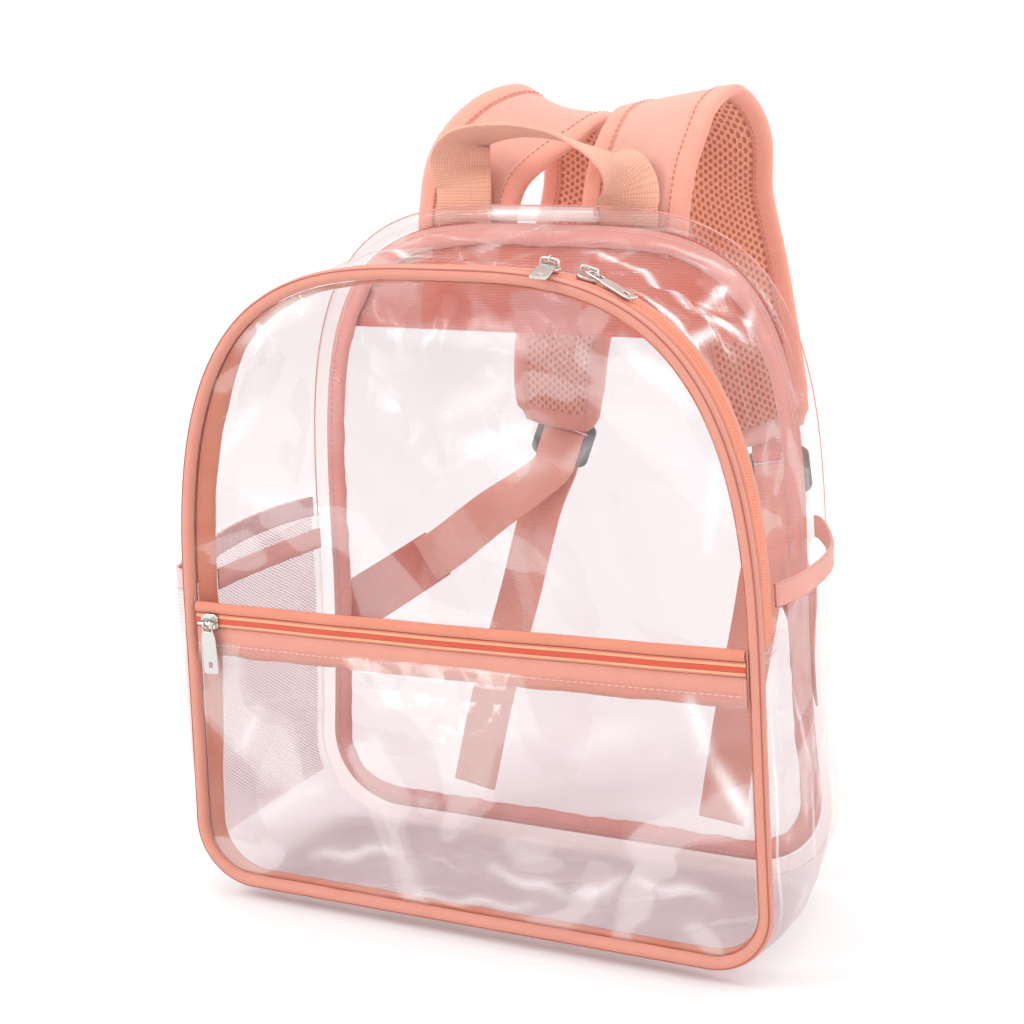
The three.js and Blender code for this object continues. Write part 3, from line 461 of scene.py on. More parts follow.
def cloth(name, color, pattern, along, across, depth, dark=0.72, rough_value=0.85, sheen=0.25, spec=0.25):
    """Woven cloth: threads in relief, painted shade between them, and uneven dye."""
    material, tree, out = new_material(name)
    place = node(tree, "ShaderNodeTexCoord")
    pitch = {"Place": place.outputs["UV"], "Pitch along": along, "Pitch across": across}
    height = use(tree, pattern, pitch).outputs[0]
    tone = use(tree, TONE, {"Place": place.outputs["Object"]})
    base = srgb(color)
    tinted = blend(tree, tone.outputs["Share"], toned(base, 0.9), toned(base, 1.08))
    relief = calc(tree, "MULTIPLY_ADD", tone.outputs["Fine"], 0.35, height)
    # The base colour is darker by the factor dark where the threads are low: painted shade between the threads.
    show(tree, out, node(tree, "ShaderNodeBsdfPrincipled", {
        "Base Color": blend(tree, height, toned(base, dark), tinted), "Roughness": rough_value,
        "Normal": raised(tree, relief, 0.9, depth), "Sheen Weight": sheen, "Sheen Roughness": 0.5,
        "Specular IOR Level": spec}))
    return material


def clear_sheet(name, tint, haze, gleam, edge, rough_value, relief, scale=9.0, low=-1.0, high=-0.9):
    """Clear vinyl: a faint grey tint, glossy waves, and painted reflection patches.

    In the patches more of a lit white layer shows, in place of a bright room mirrored in the sheet. The patches grow
    from the height low to the height high. The folds kept on the mesh carry a painted highlight too.
    """
    material, tree, out = new_material(name)
    where = node(tree, "ShaderNodeTexCoord").outputs["Object"]
    height = calc(tree, "MULTIPLY_ADD", noise_at(tree, where, 70.0, 2.0, 0.6), 0.14,
                  noise_at(tree, where, 15.0, 1.0, 1.6))
    normal = raised(tree, height, 1.0, relief)
    facing = node(tree, "ShaderNodeLayerWeight", {"Blend": 0.5, "Normal": normal})
    lift = calc(tree, "POWER", facing.outputs["Facing"], 3.5)
    # Painted reflection: patches where more of the lit white layer shows, standing for a bright room mirrored in the
    # sheet.
    patch = noise_at(tree, where, scale, 1.2, 2.4)
    painted_shine = calc(tree, "MULTIPLY_ADD", ramp(tree, patch, 0.535, 0.55), 0.6,
                 calc(tree, "MULTIPLY", ramp(tree, patch, 0.3, 0.62), 0.4))
    level = node(tree, "ShaderNodeSeparateXYZ", {0: where}).outputs[2]
    base = calc(tree, "MULTIPLY_ADD", calc(tree, "MULTIPLY", painted_shine, ramp(tree, level, low, high)), gleam, haze)
    # Painted highlight along the folds, from the mesh's fold attribute.
    fold = node(tree, "ShaderNodeAttribute", attribute_name="fold").outputs["Fac"]
    base = calc(tree, "MULTIPLY_ADD", fold, 0.85, base)
    share = node(tree, "ShaderNodeClamp", {0: calc(tree, "MULTIPLY_ADD", lift, edge, base)}).outputs[0]
    gloss = node(tree, "ShaderNodeBsdfPrincipled", {
        "Base Color": srgb("#F4EDED"), "Roughness": rough_value, "Normal": normal,
        "Specular IOR Level": 1.0, "Coat Weight": 1.0, "Coat Roughness": 0.03})
    show(tree, out, see_through(tree, share, gloss, tint))
    return material


def net_cloth(name, color, pitch, thread):
    material, tree, out = new_material(name)
    place = node(tree, "ShaderNodeTexCoord")
    mask = use(tree, NET, {"Place": place.outputs["UV"], "Pitch along": pitch, "Pitch across": pitch * 1.25,
                           "Thread": thread})
    tone = use(tree, TONE, {"Place": place.outputs["Object"]})
    base = srgb(color)
    shade = blend(tree, tone.outputs["Share"], toned(base, 0.88), base)
    shader = node(tree, "ShaderNodeBsdfPrincipled", {"Base Color": shade, "Roughness": 0.6})
    show(tree, out, see_through(tree, mask.outputs[0], shader))
    return material


def air_mesh(name, color, hole_shade):
    material, tree, out = new_material(name)
    where = node(tree, "ShaderNodeTexCoord").outputs["UV"]
    mask = use(tree, HOLES, {"Place": where, "Pitch along": 4.2, "Pitch across": 2.7}).outputs[0]
    knit = use(tree, WEAVE, {"Place": where, "Pitch along": 0.7, "Pitch across": 0.7}).outputs[0]
    base = srgb(color)
    # Painted shade: the knit is darker between its loops, and the holes take a darker colour for the shade inside them.
    shade = blend(tree, mask, blend(tree, knit, toned(base, 0.8), base), srgb(hole_shade))
    height = calc(tree, "SUBTRACT", calc(tree, "MULTIPLY", knit, 0.12), mask)
    show(tree, out, node(tree, "ShaderNodeBsdfPrincipled", {
        "Base Color": shade, "Roughness": 0.85, "Normal": raised(tree, height, 1.0, 0.9), "Sheen Weight": 0.2}))
    return material


def hard(name, color, metallic, rough_value, grain, edge_highlight):
    """Moulded plastic or plated metal with fine grain, and edges made lighter: a painted highlight."""
    material, tree, out = new_material(name)
    where = node(tree, "ShaderNodeTexCoord").outputs["Object"]
    edge = node(tree, "ShaderNodeNewGeometry").outputs["Pointiness"]
    base = srgb(color)
    # Painted highlight: a lighter colour on sharp edges, found by pointiness.
    shade = blend(tree, ramp(tree, edge, 0.5, 0.62), base, toned(base, edge_highlight))
    roughness = calc(tree, "MULTIPLY_ADD", noise_at(tree, where, 160.0, 3.0), 0.2, rough_value - 0.1)
    show(tree, out, node(tree, "ShaderNodeBsdfPrincipled", {
        "Base Color": shade, "Roughness": roughness, "Metallic": metallic,
        "Normal": raised(tree, noise_at(tree, where, 2500.0, 2.0), 0.4, grain)}))
    return material


PIPING = cloth("Piping cloth", "#E69A86", WEAVE, 0.7, 0.7, 0.25, dark=0.84, rough_value=0.55, sheen=0.1, spec=0.45)
BINDING = cloth("Binding tape", "#F4A895", RIBS, 0.9, 0.6, 0.3, dark=0.8)
POCKET_TAPE_CLOTH = cloth("Pocket zip tape", "#DE9887", RIBS, 0.9, 0.6, 0.3, dark=0.8)
INNER_BINDING = cloth("Inner binding tape", "#E98F6C", RIBS, 0.9, 0.6, 0.3, dark=0.8)
REAR_BINDING = cloth("Rear binding tape", "#EFA99F", RIBS, 0.9, 0.6, 0.3, dark=0.8)
ZIP_TAPE = cloth("Zip tape", "#E08D74", RIBS, 0.8, 0.6, 0.25, dark=0.78)
# A darker, redder colour for the zips' recessed channels and the pocket coil's middle: painted shade.
SLOT_SHADE = cloth("Zip slot", "#DF5F48", WEAVE, 0.6, 0.6, 0.2, dark=0.75)
TEETH = hard("Zip teeth", "#E78B6B", 0.0, 0.45, 0.05, 1.15)
# The pocket zip's teeth: a lighter copy of the teeth colour, a painted highlight.
TEETH_PAINTED_HIGHLIGHT = hard("Zip teeth rows", "#FBB48E", 0.0, 0.45, 0.05, 1.1)
YOKE = cloth("Ribbed tape", "#FF937B", RIBS, 1.5, 0.6, 0.55, dark=0.72)
FACE = cloth("Strap cloth", "#FBB5A4", WEAVE, 0.75, 0.75, 0.3, dark=0.84)
MESH = air_mesh("Air mesh", "#FFB398", "#C67A60")
HANDLE_CLOTH = cloth("Handle webbing", "#FFBBA2", WAFFLE, 1.6, 1.4, 0.5, dark=0.74)
WEBBING = cloth("Webbing", "#FFB39E", RIBS, 1.2, 0.6, 0.35, dark=0.8)
BAND = cloth("Elastic band", "#F2AC9F", RIBS, 0.8, 0.6, 0.4, dark=0.8)
NET_BAND = cloth("Net band", "#F8D2D3", RIBS, 0.8, 0.6, 0.4, dark=0.8)
NET_CLOTH = net_cloth("Net", "#F2D6D3", 1.8, 0.4)
THREAD = cloth("Thread", "#F3CBBE", WEAVE, 0.25, 0.25, 0.05, dark=0.85, rough_value=0.6)
# Dark red for the lines in the grooves beside the piping: painted shade.
PIPING_GROOVE_SHADE = cloth("Piping groove shade", "#B9665A", WEAVE, 0.4, 0.4, 0.1, dark=0.8)
DARK_THREAD = cloth("Strap thread", "#D08D82", WEAVE, 0.25, 0.25, 0.05, dark=0.85, rough_value=0.6)
PVC = clear_sheet("Clear vinyl", "#F0EBEC", 0.01, 0.2, 0.16, 0.05, 2.4)
PVC_TOP = clear_sheet("Clear vinyl over the top", "#F9F5F5", 0.01, 0.2, 0.1, 0.04, 3.5, 14.0)
PVC_POCKET = clear_sheet("Clear vinyl pocket", "#FBF9F9", 0.01, 0.19, 0.16, 0.06, 2.4)
# The bead's painted reflection patches fade in from 0.2 to 0.32 m up, so only its top looks lit.
PVC_BEAD = clear_sheet("Clear vinyl bead", "#FCF7F6", 0.012, 0.42, 0.16, 0.06, 0.5, 5.0, 0.2, 0.32)
PLASTIC = hard("Dark plastic", "#4B4B50", 0.0, 0.38, 0.04, 1.5)
NICKEL = hard("Nickel", "#C9C6C2", 1.0, 0.22, 0.01, 1.1)


# Seams: piping in front, clear bead behind, and the tapes inside

WHOLE = np.linspace(0, RING, 529)[:-1]


def column(k, y, offset, seam_y=None):
    """Places round the bag at a depth y, so far out of the surface there, or out of the one at seam_y."""
    x, z, nx, nz = gusset(k, y if seam_y is None else seam_y)
    return np.stack([x + nx * offset, y + 0 * x, z + nz * offset], -1)


def wave(k, size, amount, seed):
    x, z = ring(FRONT, k)
    return amount * rough(x, 0 * x, z, size, seed)


def outward(k, y):
    _, _, nx, nz = gusset(k, y)
    return np.stack([nx, 0 * nx, nz], -1)


def bead(name, seam_y, radius, material, slot, *nodes):
    wobble = wave(WHOLE, 26, 0.35, 3.0)
    swell = 1 + wave(WHOLE, 7, 0.05, 8.0)
    rows = [column(WHOLE, seam_y + radius * math.cos(a), wobble * 0.6 + radius * swell * math.sin(a), seam_y)
            for a in around(14)]
    return finish(skin(name, np.stack(rows, 1), True, True), material, slot, *nodes)


def thick_strip(name, k, rows, wall, material, slot, *nodes, ripple=0.0, size=20, seed=1.0):
    """A tape of some thickness: out along the rows and back behind them."""
    wobble = wave(k, size, ripple, seed) if ripple else np.zeros(len(k))
    grow = np.linspace(0, 1, len(rows))
    out, back = ([column(k, y, o - d + wobble * g) for (y, o), g in zip(rows, grow)] for d in (0, wall))
    return finish(skin(name, np.stack(out + back[::-1], 1), False, True), material, slot, *nodes)


bead("piping_front", FRONT_Y, PIPING_R, PIPING, "piping", "front_piping")
bead("bead_back", BACK_Y, BEAD_R, PVC_BEAD, "clear_sheet", "rear_piping")
over = np.linspace(1.5, ARCH - 1.5, 260)
thin = 0.4 * np.sin(math.pi * (over - 1.5) / (ARCH - 3)) ** 0.3
cord_rows = [column(over, BACK_Y + 0.5 + 0.5 * math.cos(a), BEAD_R + 0.15 + thin * math.sin(a), BACK_Y)
             for a in around(6)]
finish(skin("bead_back_thread", np.stack(cord_rows, 1), False, True), REAR_BINDING, "binding_tape")
# Dark lines in the grooves on both sides of the piping: painted shade.
for label, turn in (("inner", 3.75), ("outer", 1.05)):
    groove = [column(WHOLE, FRONT_Y - 3.2 * math.cos(turn - math.pi) + 0.45 * math.cos(a),
                     0.45 * math.sin(a) - 3.2 * math.sin(turn), FRONT_Y) for a in around(6)]
    finish(skin("piping_groove_shade_" + label, np.stack(groove, 1), True, True), PIPING_GROOVE_SHADE, "piping")

start = -PIPING_R - GAP - WALL
fx, fz = ring(FRONT, WHOLE)
open_out = clamp((-fx - 60) / 60) * clamp((fz - 60) / 60) * clamp((285 - fz) / 30)
lean_in = mix(0.2, math.pi / 4, open_out)
ruffle = wave(WHOLE, 17, 1.0, 5.0)
rows = []
for t, back in ((0, 0), (0.33, 0), (0.66, 0), (1, 0), (1, 1), (0.66, 1), (0.33, 1), (0, 1)):
    reach = t * (10 + 1.2 * ruffle)
    depth = FRONT_Y + LAYER + 0.3 + reach * np.cos(lean_in) + 0.9 * back * np.sin(lean_in)
    offset = start - reach * np.sin(lean_in) + 0.9 * back * np.cos(lean_in) + t * ruffle * 0.8
    rows.append(column(WHOLE, depth, offset))
finish(skin("binding_front", np.stack(rows, 1), True, True), INNER_BINDING, "binding_tape", "front_binding")
start = -BEAD_R - GAP - WALL
ripple = wave(WHOLE, 15, 1.0, 9.0)
rows = []
for y, t in [(BACK_Y - LAYER, 0.0), (BACK_Y - LAYER, 0.5), (BACK_Y - LAYER, 1.0),
             (BACK_Y - LAYER - 0.8, 1.0), (BACK_Y - LAYER - 0.8, 0.5), (BACK_Y - LAYER - 0.8, 0.0)]:
    rows.append(column(WHOLE, y, start - t * (10.5 + ripple), BACK_Y))
finish(skin("binding_back", np.stack(rows, 1), True, True), REAR_BINDING, "binding_tape", "rear_binding")
round_back = np.linspace(0, RING, 529)
stitches("stitches_binding_back", column(round_back, BACK_Y - LAYER - 0.8, start - 2.2, BACK_Y),
         np.tile([0.0, -1.0, 0.0], (len(round_back), 1)))


# The main zip: folded bead of tape, teeth, and the tape's edge

def arch_k(trim, count):
    return np.linspace(ZIP_END + trim, ARCH - ZIP_END - trim, count)


HALF_GAP, ZIP_WALL = GAP / 2 / POINT, 0.9
k_zip = arch_k(HALF_GAP, 400)
fold = [(BEAD_START + 6.2 * (0.5 - 0.5 * math.cos(a)), 0.5 + 2.3 * math.sin(a))
        for a in np.linspace(0, math.pi, 9)]
thick_strip("zip_tape_bead", k_zip, fold, ZIP_WALL, ZIP_TAPE, "zip_tape", "zip_tape_front",
            ripple=0.5, size=16, seed=2.0)
thick_strip("zip_slot", k_zip, [(BEAD_END + 0.05, 0.15), (COIL_START - 0.05, 0.1)], ZIP_WALL, SLOT_SHADE, "zip_tape")
edge_rows = [(COIL_END + 0.05, 0.25), (COIL_END + 2, 0.45), (COIL_END + 5, 0.4), (TAPE_END, 0.05)]
thick_strip("zip_tape_edge", k_zip, edge_rows, ZIP_WALL, ZIP_TAPE, "zip_tape", "zip_tape_back",
            ripple=0.3, size=18, seed=7.0)


TOOTH = [(-1, 0.1), (-0.85, 0.55), (-0.55, 0.95), (-0.2, 1.0), (-0.04, 0.8),
         (0.04, 0.8), (0.2, 1.0), (0.55, 0.95), (0.85, 0.55), (1, 0.1)]


def teeth(name, centre_line, across, out, width, height, pitch, *nodes):
    """Two rows of loops that meet along the middle of the zip, on a closed strip."""
    run = lengths(centre_line, False)
    s = np.linspace(0, run[-1], int(run[-1] / pitch) * 6 + 1)
    c, a, o = (np.stack([np.interp(s, run, data[:, n]) for n in range(3)], -1)
               for data in (centre_line, across, out))
    cols = []
    for share, h in TOOTH:
        phase = (0 if share < 0 else 0.5) + 0.25 * abs(share)
        ridge = 0.5 + 0.5 * np.cos(2 * math.pi * (s / pitch + phase))
        top = height * (0.45 * h + 0.55 * h * ridge ** 0.6)
        cols.append(c + a * (share * width / 2) + o * top[:, None])
    cols.append(c + a * (width / 2) - o * ZIP_WALL)
    cols.append(c - a * (width / 2) - o * ZIP_WALL)
    # Teeth without nodes (the pocket zip) take the lighter copy: a painted highlight.
    return finish(skin(name, np.stack(cols, 1), False, True), TEETH if nodes else TEETH_PAINTED_HIGHLIGHT, "zip_teeth", *nodes)


k_fine = arch_k(HALF_GAP, 900)
teeth("zip_teeth_main", column(k_fine, COIL_MIDDLE, 0), np.tile([0.0, 1.0, 0.0], (len(k_fine), 1)),
      outward(k_fine, COIL_MIDDLE), 6.0, 1.7, 1.5, "zip_coil")


# Clear sheets round the bag

def wrinkles(k, y):
    """Soft waves and folds of the sheet round the bag, in millimetres inwards or outwards."""
    x, z, _, _ = gusset(k, y)
    hold = clamp(np.sin(math.pi * clamp((y - FRONT_Y) / DEPTH))) ** 0.5
    soft = 1.4 * rough(x * 0.7, y * 0.35, z * 0.7, 30, 1.5) + 0.5 * rough(x, y * 0.4, z, 11, 4.0)
    return soft * hold


FLOOR_GAP = 0.35


def sheet_round(name, k, y_values, extra, painted_shine, material, *nodes):
    kk, yy = np.meshgrid(k, y_values, indexing="ij")
    x, z, _, _ = gusset(kk, yy)
    P = column(kk, yy, extra(kk, yy, x, z))
    P[..., 2] = np.maximum(P[..., 2], FLOOR_GAP)
    return finish(skin(name, P, fold=painted_shine(x, yy, z)), material, "clear_sheet", *nodes)


# Lines of painted highlight along folds (start, end, width, strength) and the folds in the sheets (start, end, width,
# depth).
TOP_GLEAMS = [
    ((38, 4), (106, -18), 2.2, 0.9), ((78, -34), (110, -36), 2.0, 0.8), ((110, -38), (112, -14), 2.0, 0.9),
    ((104, -14), (118, 10), 1.8, 0.9), ((118, 10), (112, 40), 1.8, 0.7), ((103, -14), (101, 30), 2.0, 0.6),
    ((-5, -35), (30, -30), 2.0, 0.5), ((-70, 0), (-20, -28), 2.5, 0.7), ((-60, 30), (-10, 10), 2.0, 0.6),
    ((60, 30), (100, 45), 2.0, 0.6), ((-112, -20), (-84, 22), 2.5, 0.6)]
UNDER_GLEAMS = [
    ((-129, 13), (-71, 21), 3, 0.5), ((-71, 21), (-13, 1), 3, 0.5), ((-13, 1), (50, 37), 3, 0.45),
    ((50, 5), (100, 40), 3, 0.5), ((-100, -35), (-20, -10), 3, 0.45), ((90, -20), (130, 20), 3, 0.5),
    ((-40, -45), (60, -30), 2.5, 0.5)]
RIGHT_GLEAMS = [
    ((-12, 132), (25, 72), 2.4, 0.55), ((25, 72), (4, 28), 2.4, 0.55), ((-44, 150), (-45, 20), 1.5, 0.8),
    ((30, 110), (38, 40), 2.0, 0.4)]
TOP_FOLDS = [
    ((52, -32), (112, 12), 5, -3.2), ((88, -8), (132, -34), 4, 3.0), ((104, 2), (122, 52), 5, -2.8),
    ((20, 2), (92, 30), 5, 2.2), ((-125, -28), (-60, 30), 6, -2.4), ((-60, -20), (10, 12), 5, -2.0)]
UNDER_FOLDS = [
    ((-130, -35), (-60, 20), 6, 2.6), ((20, -40), (70, 5), 6, 2.2), ((90, -20), (135, 30), 7, 2.6),
    ((-60, 30), (30, 42), 6, 1.8), ((-90, -45), (20, -12), 5, 2.0), ((10, 10), (110, 34), 5, 2.0)]


def top_shine(x, y, z):
    return gleams(x, y, TOP_GLEAMS)


def low_shine(x, y, z):
    under = gleams(x, y, UNDER_GLEAMS) * clamp((40 - z) / 20)
    return under + gleams(y, z, RIGHT_GLEAMS) * clamp((x - 120) / 20)


def inside_seams(y):
    return clamp((55 - np.abs(y)) / 20)


def top_folds(kk, yy, x, z):
    folds = creases(x, yy, TOP_FOLDS) + 1.4 * rough(x, yy * 0.6, 0 * x, 13, 51.0) * inside_seams(yy)
    return wrinkles(kk, yy) + folds


def low_folds(kk, yy, x, z):
    under = clamp((60 - z) / 40)
    small = 1.1 * rough(x, yy, 0 * x, 14, 53.0) * inside_seams(yy)
    folds = creases(x, yy, UNDER_FOLDS) + small
    return wrinkles(kk, yy) * (1 - 0.4 * under) - folds * under * 0.8 + 0.8 * under


SHEET_END = BACK_Y - BEAD_R - GAP
sheet_round("sheet_top", arch_k(HALF_GAP, 300), np.linspace(TAPE_END + GAP, SHEET_END, 60), top_folds, top_shine,
            PVC_TOP, "gusset_top")
low_k = np.linspace(ARCH - ZIP_END + HALF_GAP, RING + ZIP_END - HALF_GAP, 420)
sheet_round("sheet_low", low_k, np.linspace(BEAD_START, SHEET_END, 70), low_folds, low_shine,
            PVC, "gusset_bottom")

HEM = 9
hem_rows = [(BEAD_START, LAYER + 0.9), (BEAD_START + 7, LAYER + 1.1), (TAPE_END - 7, LAYER + 1.1),
            (TAPE_END, LAYER + 0.9)]
for side, at in (("right", ZIP_END - HEM / POINT), ("left", ARCH - ZIP_END)):
    thick_strip("hem_" + side, np.linspace(at, at + HEM / POINT, 12), hem_rows, 0.9, PVC_BEAD, "clear_sheet",
                "zip_hem_" + side)
    points = np.linspace(BEAD_START + 1, TAPE_END - 1, 40)
    for n, share in enumerate((0.28, 0.72)):
        k = np.full(40, at + HEM / POINT * share)
        stitches(f"stitches_hem_{side}_{n}", column(k, points, LAYER + 1.15), outward(k, points), 2.8)


# The tape over the left side's seam below the zip
y = np.linspace(TAPE_END + 1, BACK_Y - BEAD_R - 2, 60)
down_left = np.linspace(ARCH + 2, ARCH - 5, 1001)
rows = []
for h, off in ((6, -LAYER - 0.2), (-5, -LAYER - 0.2), (-5, -LAYER - 0.9), (6, -LAYER - 0.9)):
    height = 166.5 - 0.12 * (y + 58) + h + 0.5 * rough(y, 0 * y, 0 * y, 14, 61.0)
    rows.append(column(np.interp(height, gusset(down_left, 0.0)[1], down_left), y, off))
finish(skin("side_seam_tape", np.stack(rows, 1), False, True), REAR_BINDING, "binding_tape")
stitches("stitches_side_seam", mix(rows[3], rows[2], 0.15), np.tile([1.0, 0.0, 0.0], (60, 1)), 3.0)


# Front and back faces

# Folds of the front sheets (start, end, width, depth) and lines of painted highlight along them (start, end, width,
# strength).
FRONT_FOLDS = [
    ((-150, 215), (-95, 292), 9, 1.6), ((-140, 265), (-100, 240), 6, -1.2), ((-125, 230), (-80, 300), 7, -1.2),
    ((-60, 195), (60, 245), 14, 1.3), ((40, 215), (140, 260), 12, -1.0)]
FRONT_GLEAMS = [
    ((-116, 283), (-59, 316), 5, 0.55), ((-120, 236), (-100, 262), 4, 0.3), ((88, 298), (125, 265), 4, 0.7),
    ((-3, 255), (39, 278), 5, 0.28), ((12, 247), (57, 236), 5, 0.22), ((57, 236), (77, 251), 4, 0.3),
    ((-33, 296), (60, 292), 4, 0.25), ((134, 250), (128, 200), 2.5, 0.5)]
POCKET_FOLDS = [
    ((60, 60), (145, 135), 9, 2.0), ((95, 25), (140, 100), 7, -1.6), ((-140, 60), (-70, 30), 9, 1.6),
    ((-40, 25), (40, 60), 12, -1.4)]
POCKET_GLEAMS = [
    ((118, 138), (129, 110), 3.5, 0.75), ((129, 110), (148, 80), 4, 0.8), ((-115, 47), (-67, 75), 4, 0.3),
    ((-86, 30), (-29, 45), 3, 0.5), ((14, 41), (56, 33), 3, 0.5), ((56, 33), (87, 48), 3, 0.45),
    ((87, 46), (130, 44), 3, 0.5), ((-41, 17), (40, 24), 2.5, 0.5), ((-125, 77), (-105, 111), 4, 0.25),
    ((58, 102), (98, 126), 5, 0.22)]


def bow(seam, x, z):
    across = x / np.maximum(half_width(seam, z), 1)
    up = (z - seam["lift"] - seam["height"] / 2) / (seam["height"] / 2)
    return (1 - clamp(across * across)) * (1 - clamp(up * up))


def front_y(x, z):
    share = bow(FRONT, x, z)
    folds = creases(x, z, FRONT_FOLDS) + 0.9 * rough(x * 0.6, 0 * x, z, 34, 6.0)
    return FRONT_Y - FRONT_BOW * share - folds * clamp(share * 5)


def back_y(x, z):
    return BACK_Y + 0.5 * rough(x * 0.6, 0 * x, z, 40, 11.0) * clamp(bow(BACK, x, z) * 5)


def face_sheet(name, seam, rim, place, lines, node_name):
    small = inset(dict(seam, flare=0, lean=0, shift=0), rim)
    rx, rz = ring(small, np.linspace(0, RING, 353)[:-1])
    middle = seam["lift"] + seam["height"] / 2
    shares = np.concatenate([np.linspace(1, 0.9, 7)[:-1], np.linspace(0.9, 0.001, 44)])[:, None]
    x, z = rx * shares, mix(middle, rz, shares)
    P = np.stack([settle(seam, x, z), place(x, z), z], -1)
    obj = skin(name, P, False, True, flip=True, fold=gleams(x, z, lines))
    return finish(obj, PVC, "clear_sheet", node_name)


face_sheet("sheet_front", FRONT, PIPING_R + GAP, front_y, FRONT_GLEAMS, "front_panel")
face_sheet("sheet_back", BACK, BEAD_R + GAP, back_y, (), "back_panel")

INNER = inset(FRONT, PIPING_R + GAP + WALL)


def across_front(heights, count):
    """Points across the front at each height: x and z before the seam's lean."""
    z = np.repeat(np.asarray(heights, float)[:, None], count, 1)
    return half_width(INNER, z) * np.linspace(-1, 1, count)[None, :], z


def in_front(x, z, rise):
    """Places so far in front of the front sheet."""
    return np.stack([settle(FRONT, x, z), front_y(x, z) - rise, z], -1)


def sloping_line(height, count):
    x, z = across_front([height], count)
    return x[0], z[0] + POCKET_SLOPE * x[0]


def front_strip(name, profile, material, slot, *nodes, ripple=0.0):
    """A tape across the front: a closed profile of height and distance in front of the sheet."""
    x, z = across_front([h for h, _ in profile], 200)
    uneven = ripple * rough(x, 0 * x, 0 * x, 24, 13.0) * np.linspace(0, 1, len(profile))[:, None]
    z = z + (POCKET_SLOPE * x + uneven)
    P = in_front(x, z, np.array([d for _, d in profile])[:, None])
    back = in_front(x, z, LAYER * 0.8)
    whole = np.concatenate([P, back[::-1]], 0).transpose(1, 0, 2)
    return finish(skin(name, whole, False, True), material, slot, *nodes)


welt_foot = POCKET_TOP - WELT
coil_top = welt_foot - GAP
coil_foot = coil_top - POCKET_COIL
tape_top = coil_foot - GAP
tape_foot = tape_top - POCKET_TAPE
welt = [(welt_foot + WELT * (0.5 - 0.5 * math.cos(a)), LAYER + 0.4 + 2.1 * math.sin(a))
        for a in np.linspace(0, math.pi, 9)]
front_strip("pocket_welt", welt, ZIP_TAPE, "zip_tape", "pocket_zip_welt")
tape_rows = [(tape_top, LAYER + 1.0), (tape_top - 4, LAYER + 1.2), (tape_foot + 4, LAYER + 1.1),
             (tape_foot, LAYER + 0.9)]
front_strip("pocket_tape", tape_rows, POCKET_TAPE_CLOTH, "zip_tape", "pocket_zip_tape", ripple=1.1)
front_strip("pocket_slot", [(coil_top - 0.1, LAYER + 0.4), (welt_foot + 0.1, LAYER + 0.4)], SLOT_SHADE, "zip_tape")
coil_mid = (coil_top + coil_foot) / 2
line = in_front(*sloping_line(coil_mid, 500), LAYER)
down, ahead = np.tile([0.0, 0.0, -1.0], (len(line), 1)), np.tile([0.0, -1.0, 0.0], (len(line), 1))


def along_coil(name, profile, material, *nodes):
    P = np.stack([line + down * drop + ahead * rise for drop, rise in profile], 1)
    return finish(skin(name, P, False, True), material, "zip_tape", *nodes)


coil_half = POCKET_COIL / 2
coil_rows = [(-1, 0.9), (-0.97, 1.15), (0.97, 1.15), (1, 0.9), (1, 0.05), (-1, 0.05)]
along_coil("pocket_coil_tape", [(share * coil_half, rise) for share, rise in coil_rows], ZIP_TAPE, "pocket_zip_coil")
along_coil("pocket_coil_middle", [(1.5 * math.cos(a), 1.1 + 0.75 * math.sin(a)) for a in np.linspace(0, math.pi, 9)],
           SLOT_SHADE)
for label, way in (("upper", -1), ("lower", 1)):
    teeth("zip_teeth_" + label, line + down * (way * 1.95) + ahead * 0.9, down, ahead, 1.3, 0.95, 1.25)


def front_line(height, rise):
    return in_front(*sloping_line(height, 160), rise), np.tile([0.0, -1.0, 0.0], (160, 1))


stitches("stitches_pocket_tape", *front_line(tape_top - POCKET_LAP - 1.5, LAYER + 0.45 + WALL + GAP))
stitches("stitches_pocket_welt", *front_line(POCKET_TOP - 1.0, LAYER + 1.2))

sheet_foot = FRONT["lift"] + PIPING_R + GAP + 2 * WALL
sheet_top, lap_foot = tape_top - POCKET_LAP, tape_foot - POCKET_LAP
heights = np.concatenate([np.linspace(sheet_foot, lap_foot, 60), np.linspace(lap_foot, sheet_top, 12)[1:]])
px, pz = across_front(heights, 130)
lap = clamp((pz - lap_foot) / (POCKET_LAP - 1)) * (WALL + GAP)
up_share = clamp((pz - sheet_foot) / (sheet_top - sheet_foot))
pz = pz + POCKET_SLOPE * up_share * px
across_share = clamp(1 - (px / half_width(INNER, pz)) ** 2)
swell = POCKET_BULGE * across_share ** 0.5 * np.sin(math.pi * up_share) ** 0.8
pocket_folds = creases(px, pz, POCKET_FOLDS) + 1.3 * rough(px * 0.5, 0 * px, pz, 30, 17.0)
swell = swell + pocket_folds * clamp(swell / 4)
P = in_front(px, pz, LAYER + 0.4 + lap + np.maximum(swell, 0))
finish(skin("sheet_pocket", P.transpose(1, 0, 2), fold=gleams(px, pz, POCKET_GLEAMS).T), PVC_POCKET,
       "clear_sheet", "front_pocket")

# Side pockets


def side_place(side, height):
    """The place round the bag at a height on one side, from the bottom up."""
    first, last = (ARCH + SIDE + CORNER, ARCH - 6) if side < 0 else (RING - SIDE - CORNER, RING + 6)
    k = np.linspace(first, last, 4001)
    return float(np.interp(height, gusset(k, 0 * k)[1], k))


NET_POCKET = dict(top=177, front=3.8, rise=0.12, fall=0.7, lift=0.3)
CLEAR_POCKET = dict(top=189, front=27, rise=0.7, fall=0.7, lift=0.8)
POCKET_FOOT, EDGE, SIDE_SWELL = 24, 11, 15
HEM_FOOT = ZIP_END_Z - HEM


